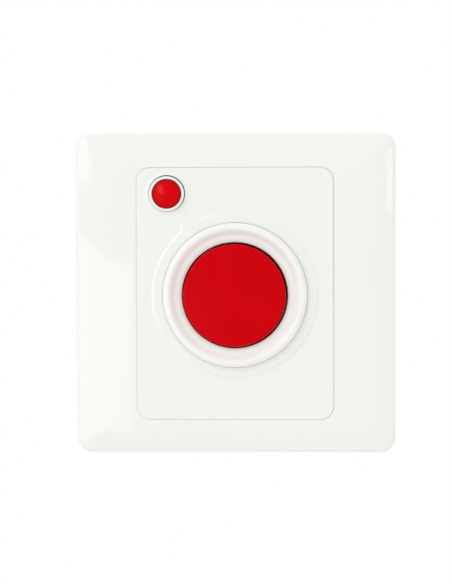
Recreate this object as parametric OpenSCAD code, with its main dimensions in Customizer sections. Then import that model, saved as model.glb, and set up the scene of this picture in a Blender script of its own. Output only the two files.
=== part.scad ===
// Wall call button for a ward or an accessible bathroom, on a square 86 mm wall plate.
// Every module draws its piece lying on its back: x is to the right, y is up the wall and
// z is the height above the wall. on_wall() then turns the piece upright, so that its
// face looks along -Y and the wall is the plane Y = 0.

/* [Front frame] */
// Side of the square front frame
frame_side = 86; // [84:0.5:92]
// Radius of the frame's outer corners
frame_corner_r = 4; // [3.2:0.1:5]
// Height of the frame's flat face above the wall
face_h = 8; // [7.4:0.1:9.5]
// Radius of the rounded rim
rim_r = 1.6; // [1.3:0.1:1.9]
// Width of the border that curves down to the rim
crown_w = 11.5; // [10:0.5:14]
// Radius of that curve, seen in section
crown_r = 36; // [32:1:50]
// Thickness of the frame's shell
frame_wall = 2; // [1.7:0.1:2.3]
// Height of the lip behind the frame's window
lip_h = 1.3; // [1.1:0.1:1.5]
// Rounding of the two edges where frame and panel meet
joint_edge_r = 0.35; // [0.3:0.01:0.42]

/* [Chassis] */
// Thickness of the plate that lies on the wall
plate_t = 2; // [1.7:0.1:2.4]
// Gap between the plate and the inside of the frame
plate_gap = 1; // [0.8:0.1:1.2]
// Wall of the tub behind the panel
tub_wall = 1.6; // [1.3:0.1:1.9]
// Distance between the two wall screws
wall_screw_spacing = 60.3; // [60:0.1:64]

/* [Centre panel] */
// Width of the panel
panel_w = 52.6; // [50:0.1:53]
// Height of the panel
panel_h = 67.4; // [64:0.1:70]
// Radius of the panel's corners
panel_corner_r = 3.5; // [2.9:0.1:4.2]
// Thickness of the panel's face
panel_t = 2; // [1.7:0.1:2.4]
// Thickness of the panel's skirt
skirt_t = 1.5; // [1.3:0.1:1.8]
// Visible gap between the panel and the frame
panel_gap = 0.2; // [0.15:0.01:0.25]
// Height of the raised figure round the button and the lamp
relief_h = 0.4; // [0.32:0.02:0.5]
// Width of its sloped edge
relief_slope = 0.6; // [0.5:0.05:0.7]
// Width of the raised ring outside the collar
relief_ring_w = 3.2; // [2.6:0.05:3.4]
// Radius of the fillets that draw in the neck between the two circles
neck_fillet_r = 2.9; // [2.5:0.1:3.6]

/* [Push button] */
// Radius of the red button
button_r = 13.7; // [11.5:0.1:15]
// Depth of the button, from its crown to the edge of its skirt
button_h = 8.2; // [7:0.1:9.7]
// Height of the button's crown above the panel's face
button_proud = 3.2; // [2.7:0.1:3.8]
// How far the button is pushed in
button_travel = 2.5; // [2:0.1:3]
// Place of the button's centre above the middle of the panel
button_y = -0.3; // [-0.4:0.05:-0.2]
// Visible gap between the button and the collar
button_gap = 0.45; // [0.37:0.01:0.54]
// Rise of the button's crown over its edge
button_crown = 0.45; // [0.37:0.01:0.54]
// Wall of the button
button_wall = 1.6; // [1.3:0.1:1.9]
// Radius of the stem
stem_r = 3; // [2.5:0.1:3.5]

/* [Collar] */
// Width of the collar's flange, from the button's bore to its outer edge
collar_w = 5.25; // [4.6:0.05:6.2]
// Radius of the bead round the collar's edge
bead_r = 1.3; // [1.1:0.05:1.5]
// Height of the bead above the raised ring
bead_h = 1.8; // [1.5:0.05:2.1]
// Depth of the ledge below the top of the bead
ledge_drop = 1; // [0.85:0.05:1.2]
// Wall of the collar's tube
tube_wall = 2; // [1.7:0.1:2.4]
// Thickness of the floor that the spring stands on
floor_t = 1.4; // [1.2:0.1:1.7]
// Thickness of the rubber seal
seal_d = 1.2; // [1:0.05:1.4]

/* [Indicator lamp] */
// Distance from the lamp's axis to the panel's left edge
lamp_from_side = 8; // [7.7:0.1:8.8]
// Distance from the lamp's axis to the panel's upper edge
lamp_from_top = 6.9; // [6.5:0.1:7.7]
// Radius of the red lens
lens_r = 3.9; // [3.7:0.05:4.3]
// Width of the white ring round the lens
bezel_w = 0.9; // [0.8:0.05:1.05]
// Height of the ring above the panel's face
bezel_proud = 1.1; // [0.9:0.05:1.3]
// Height of the lens above the edge of the ring
lens_dome_h = 0.7; // [0.6:0.05:0.85]
// Width of the raised land round the ring
lamp_land_w = 1.05; // [0.85:0.05:1.2]

/* [Rear] */
// Thickness of the circuit board
board_t = 1.6; // [1.35:0.05:1.9]
// Space behind the board for pins and solder
solder_space = 1.8; // [1.7:0.1:2.2]
// Thickness of the rear cover
cover_t = 1.5; // [1.3:0.1:1.8]
// Length of the slots for the wall screws
wall_slot_l = 6.4; // [5.2:0.1:6.6]
// Length of the wall screws under the head
wall_screw_l = 25; // [20:1:30]
// Number of wires that the terminal block takes
poles = 4; // [2:1:4]

/* [Hidden] */
$fn = 96;

// How far a cutter runs past the face that it opens, and how deep a rib starts in its wall
over = 0.5;
// Clearance between moulded pieces that slip into each other
slip = 0.3;
// Clearance round small metal pieces in their holes
fit_gap = 0.15;
// Gap between faces that rest on each other
touch_gap = 0.03;
// Clearance of pins and stems that run in a bore
running_fit = 0.05;

// Front frame
frame_half = frame_side / 2;
frame_inner_half = frame_half - frame_wall;
inner_rim_r = 0.6;
frame_under_z = face_h - frame_wall;
window_w = panel_w + 2 * panel_gap;
window_h = panel_h + 2 * panel_gap;
window_corner_r = panel_corner_r + panel_gap;
lip_t = 0.9;
pry_w = 8;
pry_h = 1.2;

// Chassis plate and the snaps that hold the frame on it
plate_half = frame_inner_half - plate_gap;
plate_corner_r = 2.5;
plate_rib_t = 1;
plate_rib_h = 0.8;
hook_w = 8;
hook_t = 1.2;
hook_reach = 0.7;
hook_play = 0.1;
hook_barb_h = 1;
hook_side_share = 0.44;
catch_t = 0.9;
catch_roof = 0.7;
hook_end_z = plate_t + slip;
hook_barb_z = hook_end_z + hook_barb_h;
catch_top_z = hook_barb_z + hook_play + catch_roof;
hook_outer_x = plate_half - catch_t - slip;
hook_y = hook_side_share * plate_half;

// Wall screws, and the room round each for the lug of the wall box that it goes into. The
// screw has a plain neck in the plate, as thick as the blank that its thread is rolled on.
wall_thread_r = 2;
wall_head_r = 3.4;
wall_head_h = 2.2;
wall_neck_share = 0.88;
wall_lug_r = 6.7;

// Chassis tub and the snaps that hold the panel on it. It passes between the heads of the
// wall screws, and behind the plate between the lugs of the wall box.
skirt_gap = 0.3;
skirt_lift = 0.6;
panel_under_z = face_h - panel_t;
panel_end_z = plate_t + skirt_lift;
tub_out_w = min(panel_w - 2 * (skirt_t + skirt_gap), wall_screw_spacing - 2 * (wall_head_r + slip));
tub_low_w = min(tub_out_w, wall_screw_spacing - 2 * wall_lug_r);
tub_out_h = panel_h - 2 * (skirt_t + skirt_gap);
tub_out_r = panel_corner_r - skirt_t - skirt_gap;
tub_in_w = tub_out_w - 2 * tub_wall;
tub_low_in_w = tub_low_w - 2 * tub_wall;
tub_in_h = tub_out_h - 2 * tub_wall;
tub_in_r = 0.8;
clip_w = 6;
clip_h = 1.2;
clip_bite = 0.3;
clip_play = 0.1;
clip_roof = 0.8;
clip_side_share = 0.7;
clip_y = clip_side_share * panel_h / 2;
clip_top_z = panel_end_z + clip_h;
tub_top_z = clip_top_z + clip_play + clip_roof;
wall_hole_r = 2.2;
wall_slot_run = wall_slot_l - 2 * wall_hole_r;

// Push button
button_top_z = face_h + button_proud;
button_edge_r = 0.8;
button_crown_r = (pow(button_r, 2) + pow(button_crown, 2)) / (2 * button_crown);
button_end_z = button_top_z - button_h;
button_under_z = button_top_z - button_crown - button_wall;
stop_gap = 0.1;
boss_r = 4.3;
boss_h = 2.6;
boss_end_z = button_under_z - boss_h;
spigot_r = 2;
spigot_l = 2.2;
spigot_fit = 0.02;

// Collar
bore_r = button_r + button_gap;
bore_edge_r = 0.3;
collar_r = bore_r + collar_w;
raised_z = face_h + relief_h;
bead_x = collar_r - bead_r;
bead_z = raised_z + bead_h - bead_r;
ledge_z = raised_z + bead_h - ledge_drop;
cove_r = 0.9;
cove_bite = 0.02;
cove_z = ledge_z + cove_r - cove_bite;
cove_x = bead_x - sqrt(pow(bead_r + cove_r - cove_bite, 2) - pow(cove_z - bead_z, 2));
seat_depth = 1.4;
seat_z = raised_z - seat_depth;
seat_gap = 0.12;
seat_r = collar_r + seat_gap;
tube_r = bore_r + tube_wall;
hole_r = tube_r + slip;
floor_z = button_end_z - button_travel - stop_gap;
floor_under_z = floor_z - floor_t;
guide_r = 4.3;
guide_bore_r = stem_r + running_fit;
guide_rise = 2.4;
guide_tail = 1.4;
guide_top_z = floor_z + guide_rise;
guide_end_z = floor_under_z - guide_tail;
seal_r = seal_d / 2;
seal_x = (hole_r + collar_r) / 2;
groove_w = seal_d + fit_gap;
groove_z = seat_z - seal_d;
land_t = 1.2;
land_w = 1.4;
land_z = groove_z - land_t;
collar_hooks = 3;
collar_tongue_angle = 28;
collar_hook_angle = 24;
collar_hook_reach = 0.6;
collar_hook_lip = 0.4;
collar_hook_h = 1.6;
collar_hook_top_z = land_z - touch_gap;
collar_hook_end_z = collar_hook_top_z - collar_hook_h;
collar_slit_angle = 3;
collar_slit_l = 3;
tongue_tail = 0.3;
tongue_gap = 0.8;
tongue_end_z = collar_hook_end_z - tongue_tail;

// Stem and its clip
nose_r = 4.5;
clip_ring_t = 0.5;
clip_ring_r = 4.8;
clip_groove_r = 2.3;
clip_mouth_share = 0.8;
stem_tail = 1.8;
clip_ring_z = guide_end_z - touch_gap - clip_ring_t;
stem_end_z = clip_ring_z - stem_tail;

// Return spring
wire_d = 0.8;
wire_play = 0.6;
coil_r = guide_r + wire_play + wire_d / 2;
coil_low_z = floor_z + touch_gap + wire_d / 2;
coil_high_z = button_under_z - touch_gap - wire_d / 2;
coil_turns = 5;
coil_end_turns = 0.8;
coil_end_gap = 0.45;
coil_end_pitch = wire_d + coil_end_gap;
coil_mid_pitch = (coil_high_z - coil_low_z - 2 * coil_end_turns * coil_end_pitch)
    / (coil_turns - 2 * coil_end_turns);
coil_rings = 16;
coil_sides = 8;

// Indicator lamp
bezel_r = lens_r + bezel_w;
bezel_gap = 0.13;
bezel_edge_r = 0.35;
bezel_seat_depth = 1.2;
bezel_seat_r = bezel_r + bezel_gap;
bezel_seat_z = raised_z - bezel_seat_depth;
bezel_top_z = face_h + bezel_proud;
lamp_land_r = bezel_seat_r + lamp_land_w;
lamp_boss_t = 0.8;
lamp_boss_w = 1;
lamp_boss_z = panel_under_z - lamp_boss_t;
sleeve_bore_r = 3.2;
sleeve_t = 1.1;
sleeve_r = sleeve_bore_r + sleeve_t;
sleeve_tail = 1.5;
sleeve_end_z = lamp_boss_z - sleeve_tail;
ring_grip = 0.02;
ring_w = 0.7;
ring_t = 0.5;
ring_r = sleeve_r + ring_w;
ring_slits = 6;
ring_slit_w = 0.4;
ring_slit_share = 0.6;
lens_fit = 0.04;
lens_seat_z = bezel_seat_z - touch_gap;
lens_edge_drop = 0.25;
lens_skirt_t = 0.7;
lens_roof_t = 1.1;
lens_edge_z = bezel_top_z - lens_edge_drop;
lens_rise = lens_edge_drop + lens_dome_h;
lens_dome_r = (pow(lens_r, 2) + pow(lens_rise, 2)) / (2 * lens_rise);
lens_roof_z = lens_edge_z - lens_roof_t;
led_r = 2.5;
led_flange_w = 0.4;
led_flange_t = 1;
led_body_l = 8.6;
led_room = 0.4;
led_top_z = lens_roof_z - led_room;
led_base_z = led_top_z - led_body_l;
led_flange_r = led_r + led_flange_w;
lead_w = 0.5;
lead_pitch = 2.54;
lead_hole_r = lead_w / sqrt(2) + fit_gap;

// Microswitch
lever_arm = 9.5;
lever_l = 12.6;
lever_t = 0.3;
lever_w = 3.4;
lever_rest_angle = 15;
barrel_r = 0.7;
pivot_r = 0.5;
pivot_rise = 1;
switch_l = 12.8;
switch_w = 5.8;
switch_h = 6.5;
switch_behind = 1.4;
ear_l = 2.6;
ear_t = 0.9;
ear_rise = 0.9;
plunger_arm = 3;
plunger_r = 0.8;
plunger_bore = 2.4;
plunger_in = 1.4;
pivot_x = -lever_arm;
pivot_z = stem_end_z + nose_r - lever_arm * tan(lever_rest_angle)
    - (nose_r + lever_t / 2 + touch_gap) / cos(lever_rest_angle);
switch_top_z = pivot_z - pivot_rise;
switch_x = pivot_x - switch_behind;
plunger_x = pivot_x + plunger_arm;
plunger_z = pivot_z + plunger_arm * tan(lever_rest_angle)
    - (plunger_r + lever_t / 2 + touch_gap) / cos(lever_rest_angle);
switch_hole_r = 1.1;
switch_hole_share = 0.3;
switch_hole_rise = 1.5;
switch_pin_pitch = 5.08;
pin_w = 0.8;
pin_t = 0.4;
pin_hole_r = pin_w / 2 + fit_gap;

// Circuit board, with room behind it for pins and solder
board_z = switch_top_z - switch_h - touch_gap;
board_under_z = board_z - board_t;
board_gap = 0.4;
board_w = tub_low_in_w - 2 * board_gap;
board_h = tub_in_h - 2 * board_gap;
board_corner_r = 0.8;
// The lamp sits in the panel's corner, but no further out than the board under it reaches
lamp_x = max(lamp_from_side - panel_w / 2, led_flange_r + fit_gap - board_w / 2);
lamp_y = panel_h / 2 - lamp_from_top;
pin_out = 1.1;
pin_end_z = board_under_z - pin_out;
tub_end_z = board_under_z - solder_space;
cover_z = tub_end_z - touch_gap;
cover_under_z = cover_z - cover_t;

// Posts inside the tub
post_r = 3;
post_merge = 0.4;
pilot_r = 1;
pilot_depth = 6;
cover_post_l = 8;
post_x = tub_low_in_w / 2 - post_r + post_merge;
post_y = tub_in_h / 2 - post_r + post_merge;
lamp_post_share = 0.45;
cover_post_share = 0.68;
board_posts = [
    [-lamp_post_share * post_x, post_y], [post_x, post_y],
    [-post_x, -post_y], [post_x, -post_y]
];
cover_posts = [for (sx = [-1, 1], sy = [-1, 1]) [sx * post_x, sy * cover_post_share * post_y]];

// Terminal block, on the rear side of the board
pole_pitch = 5;
block_w = 7.8;
block_h = 10;
block_slope = 1.4;
block_y_share = 0.5;
block_l = poles * pole_pitch;
block_y = -block_y_share * tub_in_h / 2;
block_end_z = board_under_z - block_h;
pole_x = [for (i = [0:poles - 1]) (i - (poles - 1) / 2) * pole_pitch];
cage_w = 3.8;
cage_l = 5;
cage_h = 5;
cage_wall = 0.6;
cage_rise = 3.4;
cage_z = block_end_z + cage_rise;
entry_w = 3;
entry_h = 3.6;
terminal_head_r = 1.8;
terminal_head_h = 1.4;
terminal_head_sink = 0.8;
terminal_thread_r = 1.2;
terminal_thread_l = 3.4;
terminal_head_z = block_end_z + terminal_head_sink;
post_pin_w = 0.9;
post_pin_hole_r = post_pin_w / sqrt(2) + fit_gap;

// Resistors, diode and capacitor on the front side of the board. Their places are shares
// of the board's width and height.
wire_r = 0.3;
wire_hole_r = wire_r + fit_gap;
axial_rise = 0.3;
resistor_r = 1.15;
resistor_l = 6.3;
resistor_pitch = 10.16;
resistor_waist_share = 0.82;
resistor_cap_share = 0.22;
resistor_shares = [[0.21, 0.335], [0.21, 0.275], [-0.185, 0.3]];
resistor_places = [for (s = resistor_shares) on_board(s)];
diode_r = 1.35;
diode_l = 5.1;
diode_pitch = 10.16;
diode_shares = [0.28, -0.135];
diode_place = on_board(diode_shares);
capacitor_r = 2.5;
capacitor_h = 7;
capacitor_pitch = 2;
capacitor_shares = [0.37, 0.1];
capacitor_place = on_board(capacitor_shares);
capacitor_edge_r = 0.4;
capacitor_groove = 0.25;
capacitor_groove_share = 0.16;

// Small fasteners
small_thread_r = 0.95;
small_screw_l = 7;
small_head_r = 2.1;
small_head_h = 1.4;
small_hole_r = small_thread_r + slip;
drive_w_share = 0.22;
drive_l_share = 1.2;
drive_depth_share = 0.55;

// A place on the board from its shares of the board's width and height
function on_board(shares) = [shares[0] * board_w, shares[1] * board_h];

module on_wall() rotate([90, 0, 0]) children();

// A rectangle with round corners, centred on the origin
module round_rect(w, h, r) {
    square([w - 2 * r, h], center = true);
    square([w, h - 2 * r], center = true);
    for (sx = [-1, 1], sy = [-1, 1])
        translate([sx * (w / 2 - r), sy * (h / 2 - r)])
            circle(r);
}

// A prism over a rectangle with round corners, from z = low to z = high
module round_prism(w, h, r, low, high)
    translate([0, 0, low])
        linear_extrude(high - low)
            round_rect(w, h, r);

// A tube with the outline of a rectangle with round corners
module round_tube(w, h, r, wall, low, high)
    difference() {
        round_prism(w, h, r, low, high);
        round_prism(w - 2 * wall, h - 2 * wall, max(r - wall, r / 2), low - over, high + over);
    }

// Carries a profile round a rectangle with round corners. The profile's x is measured
// outwards from that outline.
module round_sweep(w, h, r)
    for (turn = [0:3]) {
        across = turn % 2 == 0 ? w : h;
        along = turn % 2 == 0 ? h : w;
        rotate([0, 0, 90 * turn]) {
            translate([across / 2 - r, along / 2 - r, 0])
                rotate_extrude(angle = 90)
                    translate([r, 0])
                        children();
            translate([across / 2, along / 2 - r, 0])
                rotate([90, 0, 0])
                    linear_extrude(along - 2 * r)
                        children();
        }
    }

// What is cut away to round an edge at the origin, whose solid lies at -x and below
module edge_cutter(r)
    translate([-r, -r])
        difference() {
            square(r + over);
            circle(r);
        }

// Right half of the section through a crowned block: an arc that starts level at
// x = half - border, runs down to the side and ends in a round rim
module crown_half(half, rim, low, top, border, radius) {
    start = half - border;
    drop = sqrt(pow(radius - rim, 2) - pow(border - rim, 2));
    rim_z = top - radius + drop;
    meet_x = start + radius * (border - rim) / (radius - rim);
    intersection() {
        translate([start, top - radius])
            circle(radius, $fn = 1440);
        translate([start, low])
            square([meet_x - start, top - low]);
    }
    translate([half - rim, rim_z])
        circle(rim);
    translate([start, low])
        square([border, rim_z - low]);
}

// Whole section through a crowned block with a flat middle
module crown_section(half, rim, low, top, border, radius) {
    translate([border - half, low])
        square([2 * (half - border), top - low]);
    for (side = [0, 1])
        mirror([side, 0])
            crown_half(half, rim, low, top, border, radius);
}

// A square block with a crowned face: its height depends only on the distance to its outline
module crown_block(side, corner, rim, low, top, border, radius) {
    half = side / 2;
    intersection() {
        rotate([90, 0, 0])
            linear_extrude(side, center = true)
                crown_section(half, rim, low, top, border, radius);
        rotate([90, 0, 90])
            linear_extrude(side, center = true)
                crown_section(half, rim, low, top, border, radius);
        translate([0, 0, low])
            linear_extrude(top - low) {
                square([side, side - 2 * corner], center = true);
                square([side - 2 * corner, side], center = true);
            }
    }
    for (turn = [0:3])
        rotate([0, 0, 90 * turn])
            translate([half - corner, half - corner, 0])
                rotate_extrude(angle = 90)
                    intersection() {
                        translate([-(half - corner), 0])
                            crown_section(half, rim, low, top, border, radius);
                        translate([0, low])
                            square([corner, top - low]);
                    }
}

// Places a piece on the button's axis
module at_button(z = 0) translate([0, button_y, z]) children();

// Places a piece on the lamp's axis
module at_lamp(z = 0) translate([lamp_x, lamp_y, z]) children();

// Places one copy on each side, left and right, at two heights
module at_sides(y)
    for (side = [0, 1], high = [-1, 1])
        mirror([side, 0, 0])
            translate([0, high * y, 0])
                children();

// A bar across the y axis with the given section, x outwards and y upwards
module cross_bar(w)
    translate([0, w / 2, 0])
        rotate([90, 0, 0])
            linear_extrude(w)
                children();

// Ring between two radii
module ring(outer, inner, low, high)
    translate([0, 0, low])
        difference() {
            cylinder(r = outer, h = high - low);
            translate([0, 0, -over])
                cylinder(r = inner, h = high - low + 2 * over);
        }

// The snap hooks, the lip and the shell of the frame, which is pushed on from the front
module front_frame()
    color("white") {
        difference() {
            crown_block(frame_side, frame_corner_r, rim_r, 0, face_h, crown_w, crown_r);
            crown_block(2 * frame_inner_half, frame_corner_r - frame_wall, inner_rim_r, -over,
                frame_under_z, crown_w - frame_wall, crown_r - frame_wall);
            round_prism(window_w, window_h, window_corner_r, -over, face_h + over);
            translate([0, 0, face_h])
                round_sweep(window_w, window_h, window_corner_r)
                    mirror([1, 0])
                        edge_cutter(joint_edge_r);
            translate([0, -frame_half, 0])
                cube([pry_w, 2 * (frame_wall + over), 2 * pry_h], center = true);
        }
        round_tube(window_w + 2 * lip_t, window_h + 2 * lip_t, window_corner_r + lip_t, lip_t,
            frame_under_z - lip_h, frame_under_z + over);
        at_sides(hook_y)
            cross_bar(hook_w)
                polygon([
                    [hook_outer_x - hook_t, frame_under_z],
                    [hook_outer_x - hook_t, hook_end_z],
                    [hook_outer_x, hook_end_z],
                    [hook_outer_x + hook_reach, hook_barb_z - hook_barb_h / 2],
                    [hook_outer_x + hook_reach, hook_barb_z],
                    [hook_outer_x, hook_barb_z],
                    [hook_outer_x, frame_under_z]
                ]);
    }

// The slots along x for the wall screws
module wall_slots()
    for (side = [-1, 1])
        translate([side * wall_screw_spacing / 2, 0, -over])
            linear_extrude(plate_t + 2 * over) {
                square([wall_slot_run, 2 * wall_hole_r], center = true);
                for (end = [-1, 1])
                    translate([end * wall_slot_run / 2, 0])
                        circle(wall_hole_r);
            }

// The plate that is screwed to the wall box, with the tub for the electronics
module chassis()
    color("lightgray")
        difference() {
            union() {
                round_prism(2 * plate_half, 2 * plate_half, plate_corner_r, 0, plate_t);
                round_tube(2 * plate_half, 2 * plate_half, plate_corner_r, plate_rib_t,
                    plate_t - over, plate_t + plate_rib_h);
                round_prism(tub_low_w, tub_out_h, tub_out_r, tub_end_z, plate_t);
                round_prism(tub_out_w, tub_out_h, tub_out_r, plate_t - over, tub_top_z);
                at_sides(hook_y)
                    cross_bar(hook_w + 2 * hook_t)
                        translate([plate_half - catch_t, plate_t - over])
                            square([catch_t, catch_top_z - plate_t + over]);
            }
            difference() {
                union() {
                    round_prism(tub_low_in_w, tub_in_h, tub_in_r, tub_end_z - over, plate_t + over);
                    round_prism(tub_in_w, tub_in_h, tub_in_r, plate_t, tub_top_z + over);
                }
                for (p = board_posts)
                    translate([p[0], p[1], board_z + touch_gap])
                        cylinder(r = post_r, h = -board_z - touch_gap);
                for (p = cover_posts)
                    translate([p[0], p[1], tub_end_z])
                        cylinder(r = post_r, h = cover_post_l);
            }
            for (p = board_posts)
                translate([p[0], p[1], board_z - over])
                    cylinder(r = pilot_r, h = pilot_depth + over);
            for (p = cover_posts)
                translate([p[0], p[1], tub_end_z - over])
                    cylinder(r = pilot_r, h = pilot_depth + over);
            wall_slots();
            at_sides(hook_y)
                cross_bar(hook_w + 2 * slip)
                    translate([plate_half - catch_t - over, hook_end_z])
                        square([catch_t + 2 * over, hook_barb_h + hook_play]);
            at_sides(clip_y)
                cross_bar(clip_w + 2 * slip)
                    translate([tub_in_w / 2 - over, panel_end_z - clip_play])
                        square([tub_wall + 2 * over, clip_h + 2 * clip_play]);
            at_lamp(sleeve_end_z - slip)
                cylinder(r = ring_r + slip, h = tub_top_z - sleeve_end_z + 2 * over);
        }

// The raised figure on the panel: two discs with sloped edges, joined by a filleted neck
module relief(big_r, small_r, slope, high) {
    lamp_v = [lamp_x, lamp_y - button_y];
    reach = norm(lamp_v);
    big_side = big_r + neck_fillet_r;
    small_side = small_r + neck_fillet_r;
    along = (pow(big_side, 2) - pow(small_side, 2) + pow(reach, 2)) / (2 * reach);
    aside = sqrt(pow(big_side, 2) - pow(along, 2));
    ahead = lamp_v / reach;
    beside = [-ahead[1], ahead[0]];
    fillets = [for (s = [-1, 1]) along * ahead + s * aside * beside];
    at_button() {
        cylinder(r1 = big_r, r2 = big_r - slope, h = high);
        difference() {
            linear_extrude(high)
                polygon([[0, 0], fillets[0], lamp_v, fillets[1]]);
            for (f = fillets)
                translate([f[0], f[1], 0])
                    cylinder(r1 = neck_fillet_r, r2 = neck_fillet_r + slope, h = high);
        }
    }
    at_lamp()
        cylinder(r1 = small_r, r2 = small_r - slope, h = high);
}

// The panel with its skirt, the seat of the collar and the seat of the lamp
module centre_panel()
    color("white")
        difference() {
            union() {
                difference() {
                    round_prism(panel_w, panel_h, panel_corner_r, panel_under_z, face_h);
                    translate([0, 0, face_h])
                        round_sweep(panel_w, panel_h, panel_corner_r)
                            edge_cutter(joint_edge_r);
                }
                round_tube(panel_w, panel_h, panel_corner_r, skirt_t, panel_end_z,
                    panel_under_z + over);
                translate([0, 0, face_h])
                    relief(collar_r + relief_ring_w, lamp_land_r, relief_slope, relief_h);
                at_button(land_z)
                    cylinder(r = seat_r + land_w, h = face_h - land_z - over);
                at_lamp(lamp_boss_z)
                    cylinder(r = bezel_seat_r + lamp_boss_w, h = face_h - lamp_boss_z - over);
                at_sides(clip_y)
                    cross_bar(clip_w)
                        polygon([
                            [panel_w / 2 - skirt_t + over, panel_end_z],
                            [panel_w / 2 - skirt_t, panel_end_z],
                            [tub_out_w / 2 - clip_bite, clip_top_z - clip_h / 2],
                            [tub_out_w / 2 - clip_bite, clip_top_z],
                            [panel_w / 2 - skirt_t + over, clip_top_z]
                        ]);
            }
            at_button(seat_z)
                cylinder(r = seat_r, h = seat_depth + over);
            at_button()
                ring(seal_x + groove_w / 2, seal_x - groove_w / 2, groove_z, seat_z + over);
            at_button(land_z - over)
                cylinder(r = hole_r, h = face_h - land_z + over);
            at_lamp(bezel_seat_z)
                cylinder(r = bezel_seat_r, h = bezel_seat_depth + over);
            at_lamp(lamp_boss_z - over)
                cylinder(r = sleeve_r + bezel_gap, h = face_h - lamp_boss_z + over);
        }

// Section through the collar: bead, cove, ledge, tube, floor and guide
module collar_section()
    difference() {
        union() {
            difference() {
                polygon([
                    [bore_r, seat_z + touch_gap],
                    [bore_r, ledge_z],
                    [cove_x, ledge_z],
                    [cove_x, cove_z],
                    [bead_x, bead_z],
                    [bead_x, seat_z + touch_gap]
                ]);
                translate([cove_x, cove_z])
                    circle(cove_r);
            }
            translate([bead_x, bead_z])
                circle(bead_r);
            translate([bead_x - bead_r / 2, seat_z + touch_gap])
                square([bead_r + bead_r / 2, bead_z - seat_z - touch_gap]);
            translate([bore_r, floor_under_z])
                square([tube_wall, seat_z + over - floor_under_z]);
            translate([guide_bore_r, floor_under_z])
                square([tube_r - guide_bore_r, floor_t]);
            translate([guide_bore_r, guide_end_z])
                square([guide_r - guide_bore_r, guide_top_z - guide_end_z]);
        }
        translate([bore_r, ledge_z])
            mirror([1, 0])
                edge_cutter(bore_edge_r);
    }

// The collar that guides the button. Three tongues, cut free by slits, have hooks that catch
// behind the panel.
module button_collar()
    color("white")
        at_button() {
            difference() {
                rotate_extrude()
                    collar_section();
                for (i = [0:collar_hooks - 1])
                    rotate([0, 0, i * 360 / collar_hooks]) {
                        for (start = [-collar_slit_angle, collar_tongue_angle])
                            rotate([0, 0, start])
                                rotate_extrude(angle = collar_slit_angle)
                                    translate([bore_r - over, tongue_end_z - tongue_gap / 2])
                                        square([tube_wall + 2 * over,
                                            tongue_gap / 2 + collar_slit_l]);
                        rotate([0, 0, -2 * collar_slit_angle])
                            rotate_extrude(angle = collar_tongue_angle + 4 * collar_slit_angle)
                                translate([bore_r - over, tongue_end_z - tongue_gap])
                                    square([tube_wall + 2 * over, tongue_gap]);
                    }
            }
            for (i = [0:collar_hooks - 1])
                rotate([0, 0, i * 360 / collar_hooks + (collar_tongue_angle - collar_hook_angle) / 2])
                    rotate_extrude(angle = collar_hook_angle)
                        polygon([
                            [tube_r - tube_wall / 2, collar_hook_top_z],
                            [tube_r + collar_hook_reach, collar_hook_top_z],
                            [tube_r + collar_hook_reach, collar_hook_top_z - collar_hook_lip],
                            [tube_r - tube_wall / 2, collar_hook_end_z]
                        ]);
        }

// Rubber ring between collar and panel
module collar_seal()
    color("dimgray")
        at_button(groove_z + seal_r)
            rotate_extrude()
                translate([seal_x, 0])
                    circle(seal_r - touch_gap / 2);

// The red button with its skirt and the boss for the stem
module button_cap()
    color("red")
        at_button()
            difference() {
                rotate_extrude()
                    crown_half(button_r, button_edge_r, button_end_z, button_top_z, button_r,
                        button_crown_r);
                translate([0, 0, button_end_z - over])
                    ring(button_r - button_wall, boss_r, 0, button_under_z - button_end_z + over);
                translate([0, 0, button_end_z - over])
                    cylinder(r = boss_r + over, h = boss_end_z - button_end_z + over);
                translate([0, 0, boss_end_z - over])
                    cylinder(r = spigot_r + spigot_fit, h = spigot_l + fit_gap + over);
            }

// The stem that runs in the collar's guide and ends in a round nose
module button_stem()
    color("whitesmoke")
        at_button()
            difference() {
                union() {
                    intersection() {
                        translate([0, 0, stem_end_z])
                            cylinder(r = stem_r, h = boss_end_z - touch_gap - stem_end_z);
                        union() {
                            translate([0, 0, stem_end_z + nose_r])
                                sphere(nose_r);
                            translate([0, 0, stem_end_z + nose_r])
                                cylinder(r = nose_r, h = boss_end_z - stem_end_z);
                        }
                    }
                    translate([0, 0, boss_end_z - over])
                        cylinder(r = spigot_r, h = spigot_l + over);
                }
                ring(stem_r + over, clip_groove_r, clip_ring_z - touch_gap,
                    clip_ring_z + clip_ring_t + touch_gap);
            }

// The clip in the stem's groove, which stops the stem under the guide
module stem_clip()
    color("silver")
        at_button(clip_ring_z)
            difference() {
                cylinder(r = clip_ring_r, h = clip_ring_t);
                translate([0, 0, -over])
                    cylinder(r = clip_groove_r + running_fit, h = clip_ring_t + 2 * over);
                translate([-clip_mouth_share * clip_groove_r, 0, -over])
                    cube([2 * clip_mouth_share * clip_groove_r, 2 * clip_ring_r,
                        clip_ring_t + 2 * over]);
            }

// Height of the spring's centre line after a number of turns
function coil_z(turn) = coil_low_z
    + coil_end_pitch * (min(turn, coil_end_turns) + max(turn - coil_turns + coil_end_turns, 0))
    + coil_mid_pitch * max(min(turn, coil_turns - coil_end_turns) - coil_end_turns, 0);

// Points on the spring's centre line; each end runs straight on for one wire diameter
coil_steps = coil_turns * coil_rings;
coil_line = [for (i = [0:coil_steps])
    [coil_r * cos(360 * i / coil_rings), coil_r * sin(360 * i / coil_rings), coil_z(i / coil_rings)]];
coil_path = concat(
    [coil_line[0] - wire_d * [0, 1, 0]],
    coil_line,
    [coil_line[coil_steps] + wire_d * [0, 1, 0]]
);
coil_count = len(coil_path);

function unit(v) = v / norm(v);

// Directions of the path at a ring, and across it
function coil_ahead(i) = unit(coil_path[min(i + 1, coil_count - 1)] - coil_path[max(i - 1, 0)]);
function coil_aside(i) = let (t = coil_ahead(i)) unit(cross(t, [0, 0, 1]));

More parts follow.
